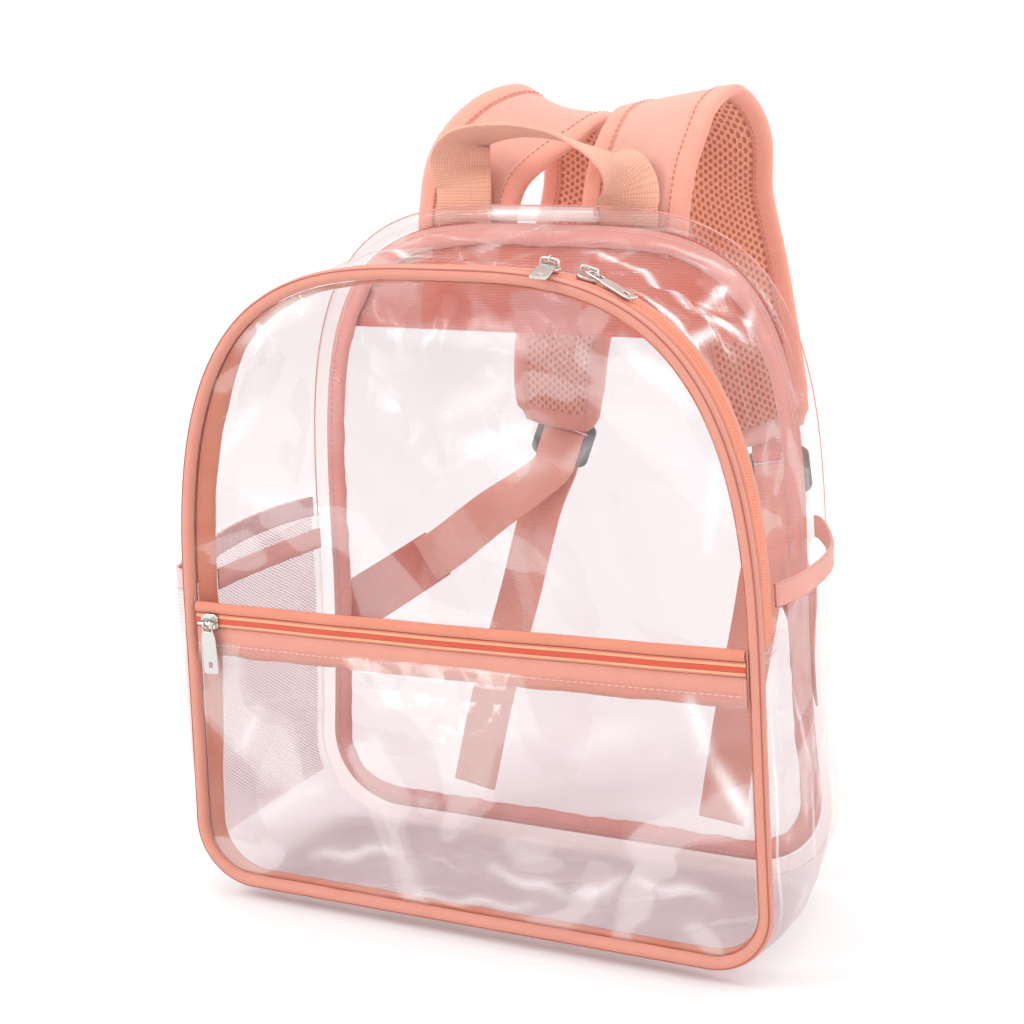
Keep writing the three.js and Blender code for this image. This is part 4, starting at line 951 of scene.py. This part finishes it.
def side_pocket(side, pocket, low, high, wall, count, material, slot, name, node_name):
    """A pocket's sheet, or with a wall its bound edge, between two heights."""
    k = np.linspace(side_place(side, low), side_place(side, high), count)
    first, last = FRONT_Y + pocket["front"], BACK_Y - BEAD_R - 5
    kk, yy = np.meshgrid(k, first + (last - first) * np.linspace(0, 1, 90) ** 1.7, indexing="ij")
    x, z, _, _ = gusset(kk, yy)
    mid = gusset(kk, 0 * yy)[1]
    height = clamp((mid - POCKET_FOOT) / (pocket["top"] - POCKET_FOOT))
    across = clamp((yy - first) / (last - first))
    swell = mix(pocket["rise"], pocket["fall"], across)
    bulge = SIDE_SWELL * np.sin(math.pi * across) ** swell * height ** pocket["lift"]
    over_zip = np.where(yy < TAPE_END, 2.2 * clamp((mid - HEM_FOOT) / 8 + 1), 0)
    loose = clamp(bulge / 4)
    waves = (1.1 * rough(x * 0.6, yy * 0.6, z * 0.6, 22, 21.0 + side) + 0.5 * rough(x, yy, z * 0.5, 12, 25.0)) * loose
    gathers = 0.5 * np.sin(yy * 1.1) * clamp((mid - pocket["top"] + 40) / 30) * loose if side < 0 else 0
    off = LAYER + 0.5 + np.maximum(bulge, over_zip) + waves + gathers
    out = column(kk, yy, off)
    if not wall:
        return finish(skin(name, out, flip=side > 0), material, slot, node_name)
    whole = np.concatenate([out, column(kk, yy, off - wall)[::-1]], 0).transpose(1, 0, 2)
    band = finish(skin(name, whole, False, True), material, slot, node_name)
    stitches(f"stitches_{name}", mix(out[-1], out[-2], 0.8), outward(kk[-1], yy[-1]), 3.0)
    return band


for side, pocket, name, body, trim, slot in ((-1, NET_POCKET, "mesh", NET_CLOTH, NET_BAND, "net"),
                                             (1, CLEAR_POCKET, "clear", PVC_POCKET, BAND, "clear_sheet")):
    top, node_name = pocket["top"], f"side_pocket_{name}"
    side_pocket(side, pocket, POCKET_FOOT, top - EDGE + 0.6, 0, 70, body, slot, f"pocket_{name}", node_name)
    side_pocket(side, pocket, top - EDGE + GAP, top, 1.6, 8, trim, "binding_tape", f"pocket_{name}_edge",
                node_name + "_band")


# Ribbons: straps, handle and webbing

def spline(stations, t):
    """Centripetal Catmull-Rom through the stations, at shares t of their count."""
    P = np.array([s[:3] for s in stations], float)
    P = np.concatenate([[2 * P[0] - P[1]], P, [2 * P[-1] - P[-2]]])
    place = clamp(np.asarray(t, float)) * (len(stations) - 1)
    i = np.minimum(place.astype(int), len(stations) - 2)
    f = (place - i)[:, None]
    p0, p1, p2, p3 = P[i], P[i + 1], P[i + 2], P[i + 3]
    d = [np.maximum(np.linalg.norm(b - a, axis=1)[:, None], 1e-4) ** 0.5
         for a, b in ((p0, p1), (p1, p2), (p2, p3))]
    t1 = ((p1 - p0) / d[0] - (p2 - p0) / (d[0] + d[1]) + (p2 - p1) / d[1]) * d[1]
    t2 = ((p2 - p1) / d[1] - (p3 - p1) / (d[1] + d[2]) + (p3 - p2) / d[2]) * d[1]
    return p1 + t1 * f + (-3 * p1 + 3 * p2 - 2 * t1 - t2) * f ** 2 + (2 * p1 - 2 * p2 + t1 + t2) * f ** 3


def frames(stations, count):
    """Points along a ribbon with its side, its outward direction and its half width."""
    t = np.linspace(0, 1, count)
    place, whole = t * (len(stations) - 1), np.arange(len(stations))
    point = spline(stations, t)
    tangent = spline(stations, clamp(t + 1e-4)) - spline(stations, clamp(t - 1e-4))
    tangent /= np.linalg.norm(tangent, axis=1)[:, None]
    data = np.array([s[3:7] for s in stations], float)
    side = np.stack([np.interp(place, whole, data[:, a]) for a in range(3)], -1)
    side -= tangent * np.sum(side * tangent, axis=1)[:, None]
    side /= np.linalg.norm(side, axis=1)[:, None]
    return point, side, np.cross(side, tangent), np.interp(place, whole, data[:, 3])


def loft(name, fr, profile, material, slot, *nodes, puff=None):
    """A closed section, swept along the frames: shares of the half width, added width, and height."""
    point, side, out, half = fr
    cols = []
    for n, (share, edge, rise) in enumerate(profile):
        lift = rise + 0 * half if puff is None else rise + puff(n)
        cols.append(point + side * (share * half + edge)[:, None] + out * lift[:, None])
    obj = skin(name, np.stack(cols, 1), False, True)
    add_caps(obj, len(profile), len(point))
    return finish(obj, material, slot, *nodes)


def add_caps(obj, ring_count, rows):
    """Closes both ends of a swept section."""
    bm = bmesh.new()
    bm.from_mesh(obj.data)
    bm.verts.ensure_lookup_table()
    layer = bm.loops.layers.uv.active
    for base in (0, (rows - 1) * ring_count):
        face = bm.faces.new([bm.verts[base + n] for n in range(ring_count)])
        face.smooth = False
        for n, corner in enumerate(face.loops):
            corner[layer].uv = (0, n * MM)
    bmesh.ops.recalc_face_normals(bm, faces=bm.faces)
    bm.to_mesh(obj.data)
    bm.free()


def flat_section(wall):
    """A tape's section with rounded edges, on one side of the stations."""
    low, high = sorted((0.0, wall))
    r = (high - low) / 2
    mid = (high + low) / 2
    turn = np.linspace(-math.pi / 2, math.pi / 2, 6)
    right = [(1, -r + r * math.cos(a), mid + r * math.sin(a)) for a in turn]
    left = [(-1, r + r * math.cos(a), mid + r * math.sin(a)) for a in turn + math.pi]
    top = [(s, 0, high) for s in (0.66, 0.33, 0, -0.33, -0.66)]
    base = [(s, 0, low) for s in (-0.66, -0.33, 0, 0.33, 0.66)]
    return right + top + left + base


# The straps' places behind the back, their side's direction and their share of the full width
STATIONS = {
    "left": [
        (-47, 0, 284, 1, 0, 0, 1), (-47, 1, 312, 1, 0, 0, 1), (-47, 4, 340, 1, 0, 0, 1),
        (-42, 10, 362, 0.97, 0.15, -0.12, 1), (-28, 26, 379, 0.93, 0.3, -0.2, 1), (-12, 48, 384, 0.9, 0.35, -0.24, 1),
        (-6, 68, 373, 0.92, 0.33, -0.2, 1), (-8, 77, 346, 0.95, 0.25, -0.1, 1), (-19, 76, 303, 0.99, 0.12, 0, 1),
        (-27, 71, 264, 1, 0, 0, 1), (-29, 69, 236, 1, 0, 0, 0.96), (-29, 68, 222, 1, 0, 0, 0.86),
        (-30, 67.5, 215, 1, 0, 0, 0.66)],
    "right": [
        (47, 0, 284, 1, 0, 0, 1), (47, 1, 312, 1, 0, 0, 1), (47, 4, 340, 1, 0.04, 0, 1),
        (49, 11, 364, 0.98, 0.08, 0.1, 1), (55, 27, 386, 0.97, 0.1, 0.17, 1), (60, 48, 390, 0.98, 0.08, 0.15, 1),
        (66, 66, 374, 0.99, 0.04, 0.1, 1), (64.5, 76, 342, 1, 0, 0.06, 1), (71.5, 80, 302, 1, 0, 0.1, 1),
        (79, 78, 264, 1, 0, 0.15, 1), (86, 74, 236, 1, 0, 0.15, 0.96), (91, 72, 222, 1, 0, 0.15, 0.86),
        (94, 71.5, 215, 1, 0, 0.15, 0.66)],
}
# Sections of the edge binding, from the face over the edge to the back, and of the binding at the strap's end
EDGE_WRAP = [(0.60, 4.0), (0.72, 4.15), (0.86, 3.9), (0.95, 3.1), (1.0, 1.6), (1.0, -0.2), (0.95, -1.9),
             (0.85, -2.7), (0.70, -2.9), (0.66, -2.9), (0.66, -2.1), (0.9, -1.0), (0.9, 2.4), (0.60, 3.2)]
END_WRAP = [(-8, 4.9), (-1.5, 4.95), (0.7, 4.2), (1.5, 1.6), (1.5, -0.6), (0.7, -2.6), (-1.5, -3.2), (-8, -3.2),
            (-8, -2.4), (-1, -1), (-1, 3), (-8, 4.2)]


def strap(side):
    stations = [(BACK_MIDDLE + x, STRAP_ROOT + y, z, sx, sy, sz, s * STRAP_HALF)
                for x, y, z, sx, sy, sz, s in STATIONS[side]]
    fr = frames(stations, 150)
    point, sideways, out, half = fr
    puff = 0.35 * rough(point[:, 0], point[:, 1], point[:, 2], 28, 31.0)
    face = [(s, 0, 3.4 + 1.1 * (1 - (s / 0.8) ** 2)) for s in np.linspace(0.8, -0.8, 17)]
    back = [(s, 0, -1.4 - 0.3 * (1 - (s / 0.8) ** 2)) for s in np.linspace(-0.8, 0.8, 9)]
    pad = loft(f"pad_{side}", fr, face + back, FACE, "strap_fabric", f"strap_{side}",
               puff=lambda n: puff if n < len(face) else 0 * puff)
    mesh_back = [(s, 0, -2.3 - 0.4 * (1 - (s / 0.78) ** 2)) for s in np.linspace(-0.78, 0.78, 11)]
    mesh_front = [(s, 0, -1.5) for s in (0.78, 0, -0.78)]
    loft(f"mesh_{side}", fr, mesh_front + mesh_back, MESH, "air_mesh", f"strap_mesh_{side}")
    for edge, label in ((-1, "outer"), (1, "inner")):
        wrap = [(share * edge, 0, rise) for share, rise in EDGE_WRAP]
        loft(f"strap_binding_{label}_{side}", fr, wrap[::-1] if edge > 0 else wrap, BINDING, "binding_tape")
        for name, share, rise in (("face", 0.655, 4.25), ("back", 0.72, -2.95)):
            line = point + sideways * (share * edge * half)[:, None] + out * rise
            stitches(f"stitches_strap_{side}_{label}_{name}", line, out * math.copysign(1, rise), 3.2, dark=True)
    onward = point[-1] - point[-2]
    onward /= np.linalg.norm(onward)
    ends = np.linspace(-0.97, 0.97, 24)
    P = np.stack([np.stack([point[-1] + sideways[-1] * (share * half[-1]) + onward * (a - 2.2 * share ** 4)
                            + out[-1] * r for a, r in END_WRAP]) for share in ends])
    obj = skin(f"strap_end_{side}", P, False, True)
    add_caps(obj, len(END_WRAP), len(ends))
    finish(obj, BINDING, "binding_tape")


for side in ("left", "right"):
    strap(side)


def lock_axes(centre, down):
    along = Vector(down).normalized()
    across = (Vector((1, 0, 0)) - along * along.x).normalized()
    face = -across.cross(along)
    return Vector(centre), along, across, face


LOCK_W, LOCK_H, LOCK_WALL, LOCK_BAR, TOP_SLOT = 35, 25, 3.4, 3.4, 5.8
MIDDLE_BAR = -LOCK_H / 2 + LOCK_BAR + TOP_SLOT


def behind(x, y, z):
    """A place behind the back from shares of its half width, the straps' reach and the back's top."""
    return BACK_MIDDLE + x * BACK["width"] / 2, STRAP_ROOT + y * 80, z * (BACK["lift"] + BACK["height"])


LOCKS = {"left": lock_axes(behind(-0.207, 0.943, 0.608), (-0.25, -0.25, -0.93)),
         "right": lock_axes(behind(0.683, 0.938, 0.577), (0.2, -0.25, -0.93))}


def on_lock(side, along, face, across=0.0):
    centre, a, c, f = LOCKS[side]
    return centre + a * along + f * face + c * across


def lock_station(side, along, face):
    p = on_lock(side, along, face)
    c = LOCKS[side][2]
    return (*p, *c, WEB_HALF)


def rounded(points, radius, count=5):
    """A closed outline with its corners rounded."""
    out = []
    n = len(points)
    for i in range(n):
        a, b, c = (np.array(points[(i + d) % n], float) for d in (-1, 0, 1))
        r = min(radius, 0.45 * np.linalg.norm(a - b), 0.45 * np.linalg.norm(c - b))
        p, q = b + (a - b) / np.linalg.norm(a - b) * r, b + (c - b) / np.linalg.norm(c - b) * r
        for t in np.linspace(0, 1, count):
            out.append(tuple((1 - t) ** 2 * p + 2 * t * (1 - t) * b + t * t * q))
    return out


def plate(name, loops, wall, bevel, matrix, material, slot, *nodes, body="bag"):
    """A flat piece with holes: its outlines extruded with rounded edges."""
    curve = bpy.data.curves.new(name, "CURVE")
    curve.dimensions = "2D"
    curve.fill_mode = "BOTH"
    curve.extrude = (wall / 2 - bevel) * MM
    curve.bevel_depth = bevel * MM
    curve.bevel_resolution = 2
    for loop in loops:
        line = curve.splines.new("POLY")
        line.points.add(len(loop) - 1)
        for point, (x, y) in zip(line.points, loop):
            point.co = (x * MM, y * MM, 0, 1)
        line.use_cyclic_u = True
    curve.offset = -bevel * MM
    holder = bpy.data.objects.new(name + "_outline", curve)
    scene.collection.objects.link(holder)
    mesh = bpy.data.meshes.new_from_object(holder.evaluated_get(bpy.context.evaluated_depsgraph_get()))
    bpy.data.objects.remove(holder)
    mesh.transform(matrix)
    mesh.name = name
    obj = bpy.data.objects.new(name, mesh)
    scene.collection.objects.link(obj)
    return finish(obj, material, slot, *nodes, body=body)


def basis(x, y, z, origin):
    m = Matrix((x, y, z)).transposed().to_4x4()
    m.translation = Vector(origin) * MM
    return m


def box_loop(x0, x1, y0, y1, radius=1.0):
    return rounded([(x0, y0), (x1, y0), (x1, y1), (x0, y1)], radius)


SLOT_W = 2 * WEB_HALF + 1.6
for side in ("left", "right"):
    centre, along, across, face = LOCKS[side]
    w, h, cut = LOCK_W / 2, LOCK_H / 2, 3
    outer = rounded([(-w + cut, -h), (w - cut, -h), (w, -h + cut), (w, h - cut),
                     (w - cut, h), (-w + cut, h), (-w, h - cut), (-w, -h + cut)], 2.5)
    slots = [box_loop(-SLOT_W / 2, SLOT_W / 2, -h + LOCK_BAR, MIDDLE_BAR),
             box_loop(-SLOT_W / 2, SLOT_W / 2, MIDDLE_BAR + LOCK_BAR, h - LOCK_BAR)]
    plate(f"lock_{side}", [outer] + slots, LOCK_WALL, 0.7, basis(across, along, across.cross(along), centre), PLASTIC,
          "dark_plastic", f"ladder_lock_{side}")

    top, reach, off = -LOCK_H / 2, 5.2, LOCK_WALL / 2 + GAP + TAPE
    half_loop = [(top - reach, TAPE + GAP), (top, off), (top + LOCK_BAR - 0.6, off), (top + LOCK_BAR + 1, off - 1.1)]
    stations = [lock_station(side, a, -f) for a, f in half_loop]
    stations += [lock_station(side, top + LOCK_BAR + TAPE + GAP + 0.1, 0)]
    stations += [lock_station(side, a, f) for a, f in reversed(half_loop)]
    loft(f"loop_{side}", frames(stations, 60), flat_section(TAPE), YOKE, "ribbed_fabric", f"strap_loop_{side}")

# Tabs at the lower corners, with the webbing sewn behind their ends
TAB_HALF, TAB_HEIGHT, TAB_SPREAD, TAB_SAG, TAB_LAP = 13.5, 113, 4, -9, 8


def tab(side, sign, end, lean):
    def root(across):
        z = TAB_HEIGHT - sign * across * (TAB_HALF + TAB_SPREAD)
        half = float(half_width(inset(BACK, BEAD_R + 2 * GAP), np.array(z)))
        return np.array([float(settle(BACK, -sign * half, z)), BACK_Y + LAYER, z])
    tip = np.array(behind(*end))
    along = tip - root(0)
    along /= np.linalg.norm(along)
    cross = np.array(lean) - along * np.dot(lean, along)
    cross /= np.linalg.norm(cross)
    out = np.cross(cross, along)
    rows = []
    for share in np.linspace(0, 1, 50):
        outer, inner = [], []
        for across in np.linspace(-1, 1, 21):
            p = mix(root(across), tip + cross * across * TAB_HALF, share) + out * TAB_SAG * share * (1 - share)
            p = p + out * 0.5 * math.sin(across * 7 + share * 3) * math.sin(math.pi * share)
            q = p - out * TAPE
            p[1], q[1] = max(p[1], BACK_Y + LAYER), max(q[1], BACK_Y + LAYER + TAPE)
            outer.append(q)
            inner.append(p)
        rows.append(outer + inner[::-1])
    P = np.array(rows)
    obj = skin(f"tab_{side}", P, False, True)
    add_caps(obj, P.shape[1], P.shape[0])
    finish(obj, YOKE, "ribbed_fabric", f"strap_tab_{side}")
    for n, back_by in enumerate((2.0, 6.0)):
        line = np.array([tip - along * back_by - out * (TAPE + 0.05) + cross * c for c in np.linspace(-11, 11, 30)])
        stitches(f"stitches_tab_{side}_{n}", line, np.tile(-out, (30, 1)), 2.4)

    def start(distance):
        p = tip + along * distance + out * (GAP + WEB_WALL)
        return (*p, *cross, WEB_HALF)
    return start


def webbing(side, start, run, tail):
    clear_by = LOCK_WALL / 2 + GAP + WEB_WALL
    foot = LOCK_H / 2
    turn = [(foot + 4, clear_by + 0.6), (foot - 4, clear_by), (MIDDLE_BAR + 2, clear_by),
            (MIDDLE_BAR - 1.3, clear_by - 0.4)]
    run, tail = [[(*behind(*s[:3]), *s[3:], WEB_HALF) for s in part] for part in (run, tail)]
    stations = [start(d) for d in (-TAB_LAP, -TAB_LAP / 2, TAB_LAP * 0.75)] + run
    stations += [lock_station(side, a, f) for a, f in turn] + [lock_station(side, MIDDLE_BAR - 2.7, 0)]
    stations += [lock_station(side, a, -f) for a, f in reversed(turn)] + tail
    fr = frames(stations, 260)
    loft(f"web_{side}", fr, flat_section(-WEB_WALL), WEBBING, "webbing", f"webbing_{side}")
    point, sideways, out, half = fr
    end = slice(-20, None)
    hem = [(1.01, 0, 0.9), (-1.01, 0, 0.9), (-1.01, 0, -0.1), (1.01, 0, -0.1)]
    loft(f"web_end_{side}", (point[end], sideways[end], out[end], half[end]), hem, WEBBING, "webbing")
    for n in (-17, -13):
        line = np.array([point[n] + sideways[n] * c + out[n] * 1.0 for c in np.linspace(-11, 11, 30)])
        stitches(f"stitches_web_{side}_{-n}", line, np.tile(out[n], (30, 1)), 2.4)


webbing("left", tab("left", 1, (-0.563, 0.209, 0.441), (0.62, 0, -0.78)), [(-0.408, 0.471, 0.5, 0.75, 0, -0.6)],
        [(-0.261, 0.759, 0.497, 1, 0, 0), (-0.303, 0.534, 0.361, 1, 0, 0), (-0.373, 0.334, 0.207, 1, 0, 0),
         (-0.43, 0.196, 0.053, 1, 0, 0)])
webbing("right", tab("right", -1, (0.873, 0.296, 0.441), (0.62, 0, 0.78)), [(0.782, 0.509, 0.494, 0.85, 0, 0.4)],
        [(0.69, 0.696, 0.467, 1, 0, 0), (0.676, 0.496, 0.355, 1, 0, 0), (0.641, 0.321, 0.207, 1, 0, 0),
         (0.606, 0.196, 0.053, 1, 0, 0)])

# Handle
bead_y = BACK_Y + BEAD_R + GAP
cross_y = bead_y - 8
over_leg = bead_y + HANDLE_WALL + GAP
leg, turn = 46, 7
handle_stations = [
    (-leg, STRAP_FACE, 0.899, 1, 0, 0), (-leg, STRAP_FACE, 0.946, 1, 0, 0), (-leg, bead_y, 0.982, 1, 0, 0),
    (-leg, bead_y, 1.035, 1, 0.05, 0), (-leg, bead_y - turn / 3, 1.073, 0.9, 0.45, 0),
    (turn - leg, cross_y, 1.106, 0.25, 0.95, -0.3), (-15, cross_y, 1.121, 0, 1, -0.25),
    (15, cross_y, 1.109, 0, 1, -0.24), (leg - turn, cross_y, 1.076, 0.2, 0.95, -0.1),
    (leg, bead_y - turn / 6, 1.041, 0.85, 0.5, 0), (leg, over_leg, 1.011, 1, 0.05, 0),
    (leg, over_leg, 0.982, 1, 0, 0), (leg, STRAP_FACE + HANDLE_WALL, 0.946, 1, 0, 0),
    (leg, STRAP_FACE + HANDLE_WALL, 0.899, 1, 0, 0)]
back_top = BACK["lift"] + BACK["height"]
handle_stations = [(BACK_MIDDLE + x, y, share * back_top, *way, HANDLE_HALF) for x, y, share, *way in handle_stations]
loft("handle_web", frames(handle_stations, 260), flat_section(-HANDLE_WALL - 0.3), HANDLE_CLOTH, "webbing",
     "handle")

# Yoke across the back
yoke_top = BACK["lift"] + BACK["height"] - BEAD_R - GAP - WALL
yh = mix(277, yoke_top, np.linspace(0, 1, 40) ** 0.85)
yz = np.repeat(yh[:, None], 90, 1)
yx = half_width(inset(BACK, BEAD_R + GAP), yz) * np.linspace(-1, 1, 90)[None, :]
near = BACK_Y + LAYER
front = np.stack([settle(BACK, yx, yz), near + TAPE + 0.15 * rough(yx, 0 * yx, yz, 22, 41.0), yz], -1)
rear = np.stack([settle(BACK, yx, yz), near + 0 * yx, yz], -1)
finish(skin("yoke", np.concatenate([front, rear[::-1]], 0), False, False), YOKE, "ribbed_fabric", "back_yoke")
for n, z in enumerate((280, 284.5)):
    x = np.linspace(-1, 1, 120) * half_width(inset(BACK, BEAD_R + 3), np.array(float(z)))
    line = np.stack([settle(BACK, x, z), near + TAPE + 0.1 + 0 * x, z + 0 * x], -1)
    stitches(f"stitches_yoke_{n}", line, np.tile([0.0, 1.0, 0.0], (120, 1)), 3.2)

# Sliders and pullers
SLIDER_TOP, BRIDGE, BAR, PULLER_DROP, PULLER_REST = 3.8, 4.6, 1.5, 1.3, 0.4
PULLER_LENGTH, PULLER_BEHIND, PULLER_WALL = 27, 0.65, 1.2
LINK_WIRE = 0.38
BAR_HEIGHT = SLIDER_TOP + BRIDGE - BAR / 2
EYE_HEIGHT = BAR_HEIGHT - BAR / 2 - PULLER_DROP


def tube_mesh(path, radius, sides):
    out = []
    for i, p in enumerate(path):
        d = path[min(i + 1, len(path) - 1)] - path[max(i - 1, 0)]
        d /= np.linalg.norm(d)
        a = np.cross(d, [0, 1, 0])
        a /= np.linalg.norm(a)
        b = np.cross(d, a)
        out.append([p + a * radius * math.cos(t) + b * radius * 1.1 * math.sin(t) for t in around(sides)])
    return np.array(out)


def slider(name, matrix, node_name):
    base, foot, shoulder = 1.95, SLIDER_TOP - 0.8, SLIDER_TOP + 1.4
    outline = rounded([(-5, -2.6), (-2, -4), (3.2, -4), (5, -2.9), (5, 2.9), (3.2, 4), (-2, 4), (-5, 2.6)], 1.2)
    lift = Matrix.Translation((0, 0, (SLIDER_TOP + base) / 2 * MM))
    plate(name, [outline], SLIDER_TOP - base, 0.35, matrix @ lift, NICKEL, "nickel", node_name)
    arch = [(-4.3, 0, foot), (-4.3, 0, shoulder), (-3.9, 0, BAR_HEIGHT - 0.4), (-2.6, 0, BAR_HEIGHT),
            (0, 0, BAR_HEIGHT), (2.6, 0, BAR_HEIGHT), (3.9, 0, BAR_HEIGHT - 0.4), (4.3, 0, shoulder), (4.3, 0, foot)]
    fine = spline(arch, np.linspace(0, 1, 40))
    P = tube_mesh(fine, 0.72, 10)
    obj = skin(name + "_bridge", P, False, True)
    add_caps(obj, 10, len(fine))
    obj.data.transform(matrix)
    finish(obj, NICKEL, "nickel")


def puller(name, matrix, eye, body, node_name):
    start = -PULLER_BEHIND
    end = start + PULLER_LENGTH
    neck, half = 3.0, 4.25
    edge = [(eye, neck), (eye + half - neck + 2, half), (end - 1, half), (end, half - 1)]
    outline = [(start, -neck)] + [(x, -y) for x, y in edge] + edge[::-1] + [(start, neck)]
    loops = [rounded(outline, 1.6), box_loop(start + 1.3, eye, -2.3, 2.3, 0.9),
             box_loop(end - 6.2, end - 3, -1.1, 1.1, 1.0)]
    plate(name, loops, PULLER_WALL, 0.3, matrix, NICKEL, "nickel", node_name, body=body)


def link(name, matrix, body):
    """A wire ring round the bridge's bar and through the puller's eye, so that the puller hangs from the bar."""
    low, high = EYE_HEIGHT - PULLER_WALL / 2, BAR_HEIGHT + BAR / 2
    wide, tall = BAR / 2 + LINK_WIRE + 0.15, (high - low) / 2 + LINK_WIRE + 0.12
    rows = []
    for t in around(40):
        y = wide * math.copysign(abs(math.cos(t)) ** 0.8, math.cos(t))
        z = tall * math.copysign(abs(math.sin(t)) ** 0.8, math.sin(t))
        away = np.array([0, math.cos(t) / wide, math.sin(t) / tall])
        away /= np.linalg.norm(away)
        middle = np.array([0, y, (low + high) / 2 + z])
        rows.append([middle + LINK_WIRE * (away * math.cos(w) + np.array([1, 0, 0]) * math.sin(w)) for w in around(10)])
    obj = skin(name, np.array(rows), True, True)
    obj.data.transform(matrix)
    finish(obj, NICKEL, "nickel", body=body)


def puller_frame(eye, along, out):
    x = Vector(along).normalized()
    z = (Vector(out) - x * Vector(out).dot(x)).normalized()
    return basis(x, z.cross(x), z, eye)


def arch_point(k, y):
    x, z, nx, nz = (float(v) for v in gusset(np.array(k), np.array(float(y))))
    return Vector((x, y, z)), Vector((nx, 0, nz))


for label, reach, skew, eye_length in (("a", 50, 0.18, 4.6), ("b", 69, 1.35, 7.6)):
    place = ARCH / 2 - reach / POINT
    origin, out = arch_point(place, COIL_MIDDLE)
    travel = Vector((out.z, 0, -out.x))
    on_zip = basis(travel, out.cross(travel), out, origin)
    slider(f"slider_{label}_body", on_zip, f"slider_main_{label}")
    far = min((COIL_MIDDLE - FRONT_Y) / math.cos(skew), PULLER_LENGTH - PULLER_BEHIND)
    rest, rest_out = arch_point(place - far * math.sin(skew) / POINT, COIL_MIDDLE - far * math.cos(skew))
    eye = origin + out * EYE_HEIGHT
    along = rest + rest_out * (PIPING_R + GAP + PULLER_WALL / 2 + PULLER_REST) - eye
    puller(f"pull_{label}", puller_frame(eye, along, out), eye_length, f"puller_{label}", f"puller_main_{label}")
    if label == "a":
        link("pull_a_link", on_zip, "puller_a")

x = -FRONT["width"] / 2 + 14
z = coil_mid + POCKET_SLOPE * x
plain_face = FRONT_Y - FRONT_BOW * float(bow(FRONT, np.array(x), np.array(z)))
origin = Vector((float(settle(FRONT, x, z)), plain_face - LAYER, z))
travel = Vector((1, 0, POCKET_SLOPE)).normalized()
out = Vector((0, -1, 0))
on_zip = basis(travel, out.cross(travel), out, origin)
slider("slider_p_body", on_zip, "slider_pocket")
puller("pull_p", puller_frame(origin + out * EYE_HEIGHT, (0.05, 0, -1), out), 4.6, "puller_p", "puller_pocket")
link("pull_p_link", on_zip, "puller_p")

# Floor, light and camera
floor_mesh = bpy.data.meshes.new("floor")
floor_mesh.from_pydata([(-40, -40, 0), (40, -40, 0), (40, 40, 0), (-40, 40, 0)], [], [(0, 1, 2, 3)])
floor = bpy.data.objects.new("floor", floor_mesh)
scene.collection.objects.link(floor)
floor_material, tree, out_node = new_material("Floor")
place = node(tree, "ShaderNodeTexCoord")
paper = node(tree, "ShaderNodeTexNoise", {"Vector": place.outputs["Object"], "Scale": 3.0, "Detail": 2.0})
# Painted light: the floor is darker near the bag, where the lamps light it most, and lighter far off, so that it reads
# evenly white.
away = node(tree, "ShaderNodeVectorMath", {0: place.outputs["Object"]}, operation="LENGTH")
far_off = node(tree, "ShaderNodeMapRange", {"Value": away.outputs["Value"], "From Min": 0.5, "From Max": 3.0})
near_tone = blend(tree, paper.outputs[0], (0.8, 0.8, 0.8, 1), (0.81, 0.81, 0.81, 1))
tone = blend(tree, far_off.outputs[0], near_tone, (0.97, 0.97, 0.97, 1))
shader = node(tree, "ShaderNodeBsdfPrincipled", {"Base Color": tone, "Roughness": 0.9})
tree.links.new(shader.outputs[0], out_node.inputs[0])
floor.data.materials.append(floor_material)

world = bpy.data.worlds.new("Studio")
scene.world = world
world.use_nodes = True
world.node_tree.nodes["Background"].inputs[0].default_value = (1, 1, 1, 1)
world.node_tree.nodes["Background"].inputs[1].default_value = 1.06


def lamp(name, place, target, size, power):
    light = bpy.data.lights.new(name, "AREA")
    light.shape = "RECTANGLE"
    light.size, light.size_y = size
    light.energy = power
    obj = bpy.data.objects.new(name, light)
    obj.location = place
    obj.rotation_euler = (Vector(target) - Vector(place)).to_track_quat("-Z", "Y").to_euler()
    scene.collection.objects.link(obj)


lamp("key", (-1.3, -1.2, 1.7), (0, 0, 0.15), (0.9, 0.9), 19)
lamp("back_fill", (0.5, 1.5, 1.0), (0, 0, 0.2), (0.9, 0.6), 5)
lamp("front_strip", (-0.95, -1.7, 0.55), (0, 0, 0.2), (0.1, 1.1), 5)
lamp("side_strip", (1.6, -0.3, 0.9), (0, 0, 0.2), (0.12, 1.4), 6)
lamp("top_strip", (-0.2, 0.5, 1.9), (0, 0, 0.3), (1.4, 0.12), 7)

AZIMUTH, ELEVATION, ROLL, FOCAL = 0.4678, 0.2232, -0.0276, 2112.4
right = Vector((math.cos(AZIMUTH), math.sin(AZIMUTH), 0))
forward = Vector((-math.sin(AZIMUTH) * math.cos(ELEVATION), math.cos(AZIMUTH) * math.cos(ELEVATION),
                  -math.sin(ELEVATION)))
upward = right.cross(forward)
turned = right * math.cos(ROLL) + upward * math.sin(ROLL)
tilted = upward * math.cos(ROLL) - right * math.sin(ROLL)
camera_data = bpy.data.cameras.new("camera")
camera_data.sensor_width = 36
camera_data.lens = 36 * FOCAL / 1024
camera = bpy.data.objects.new("camera", camera_data)
pose = Matrix((turned, tilted, -forward)).transposed().to_4x4()
pose.translation = Vector((0.4555, -0.902, 0.4277))
camera.matrix_world = pose
scene.collection.objects.link(camera)
scene.camera = camera
scene.view_settings.view_transform = "Standard"
scene.cycles.transparent_max_bounces = 32
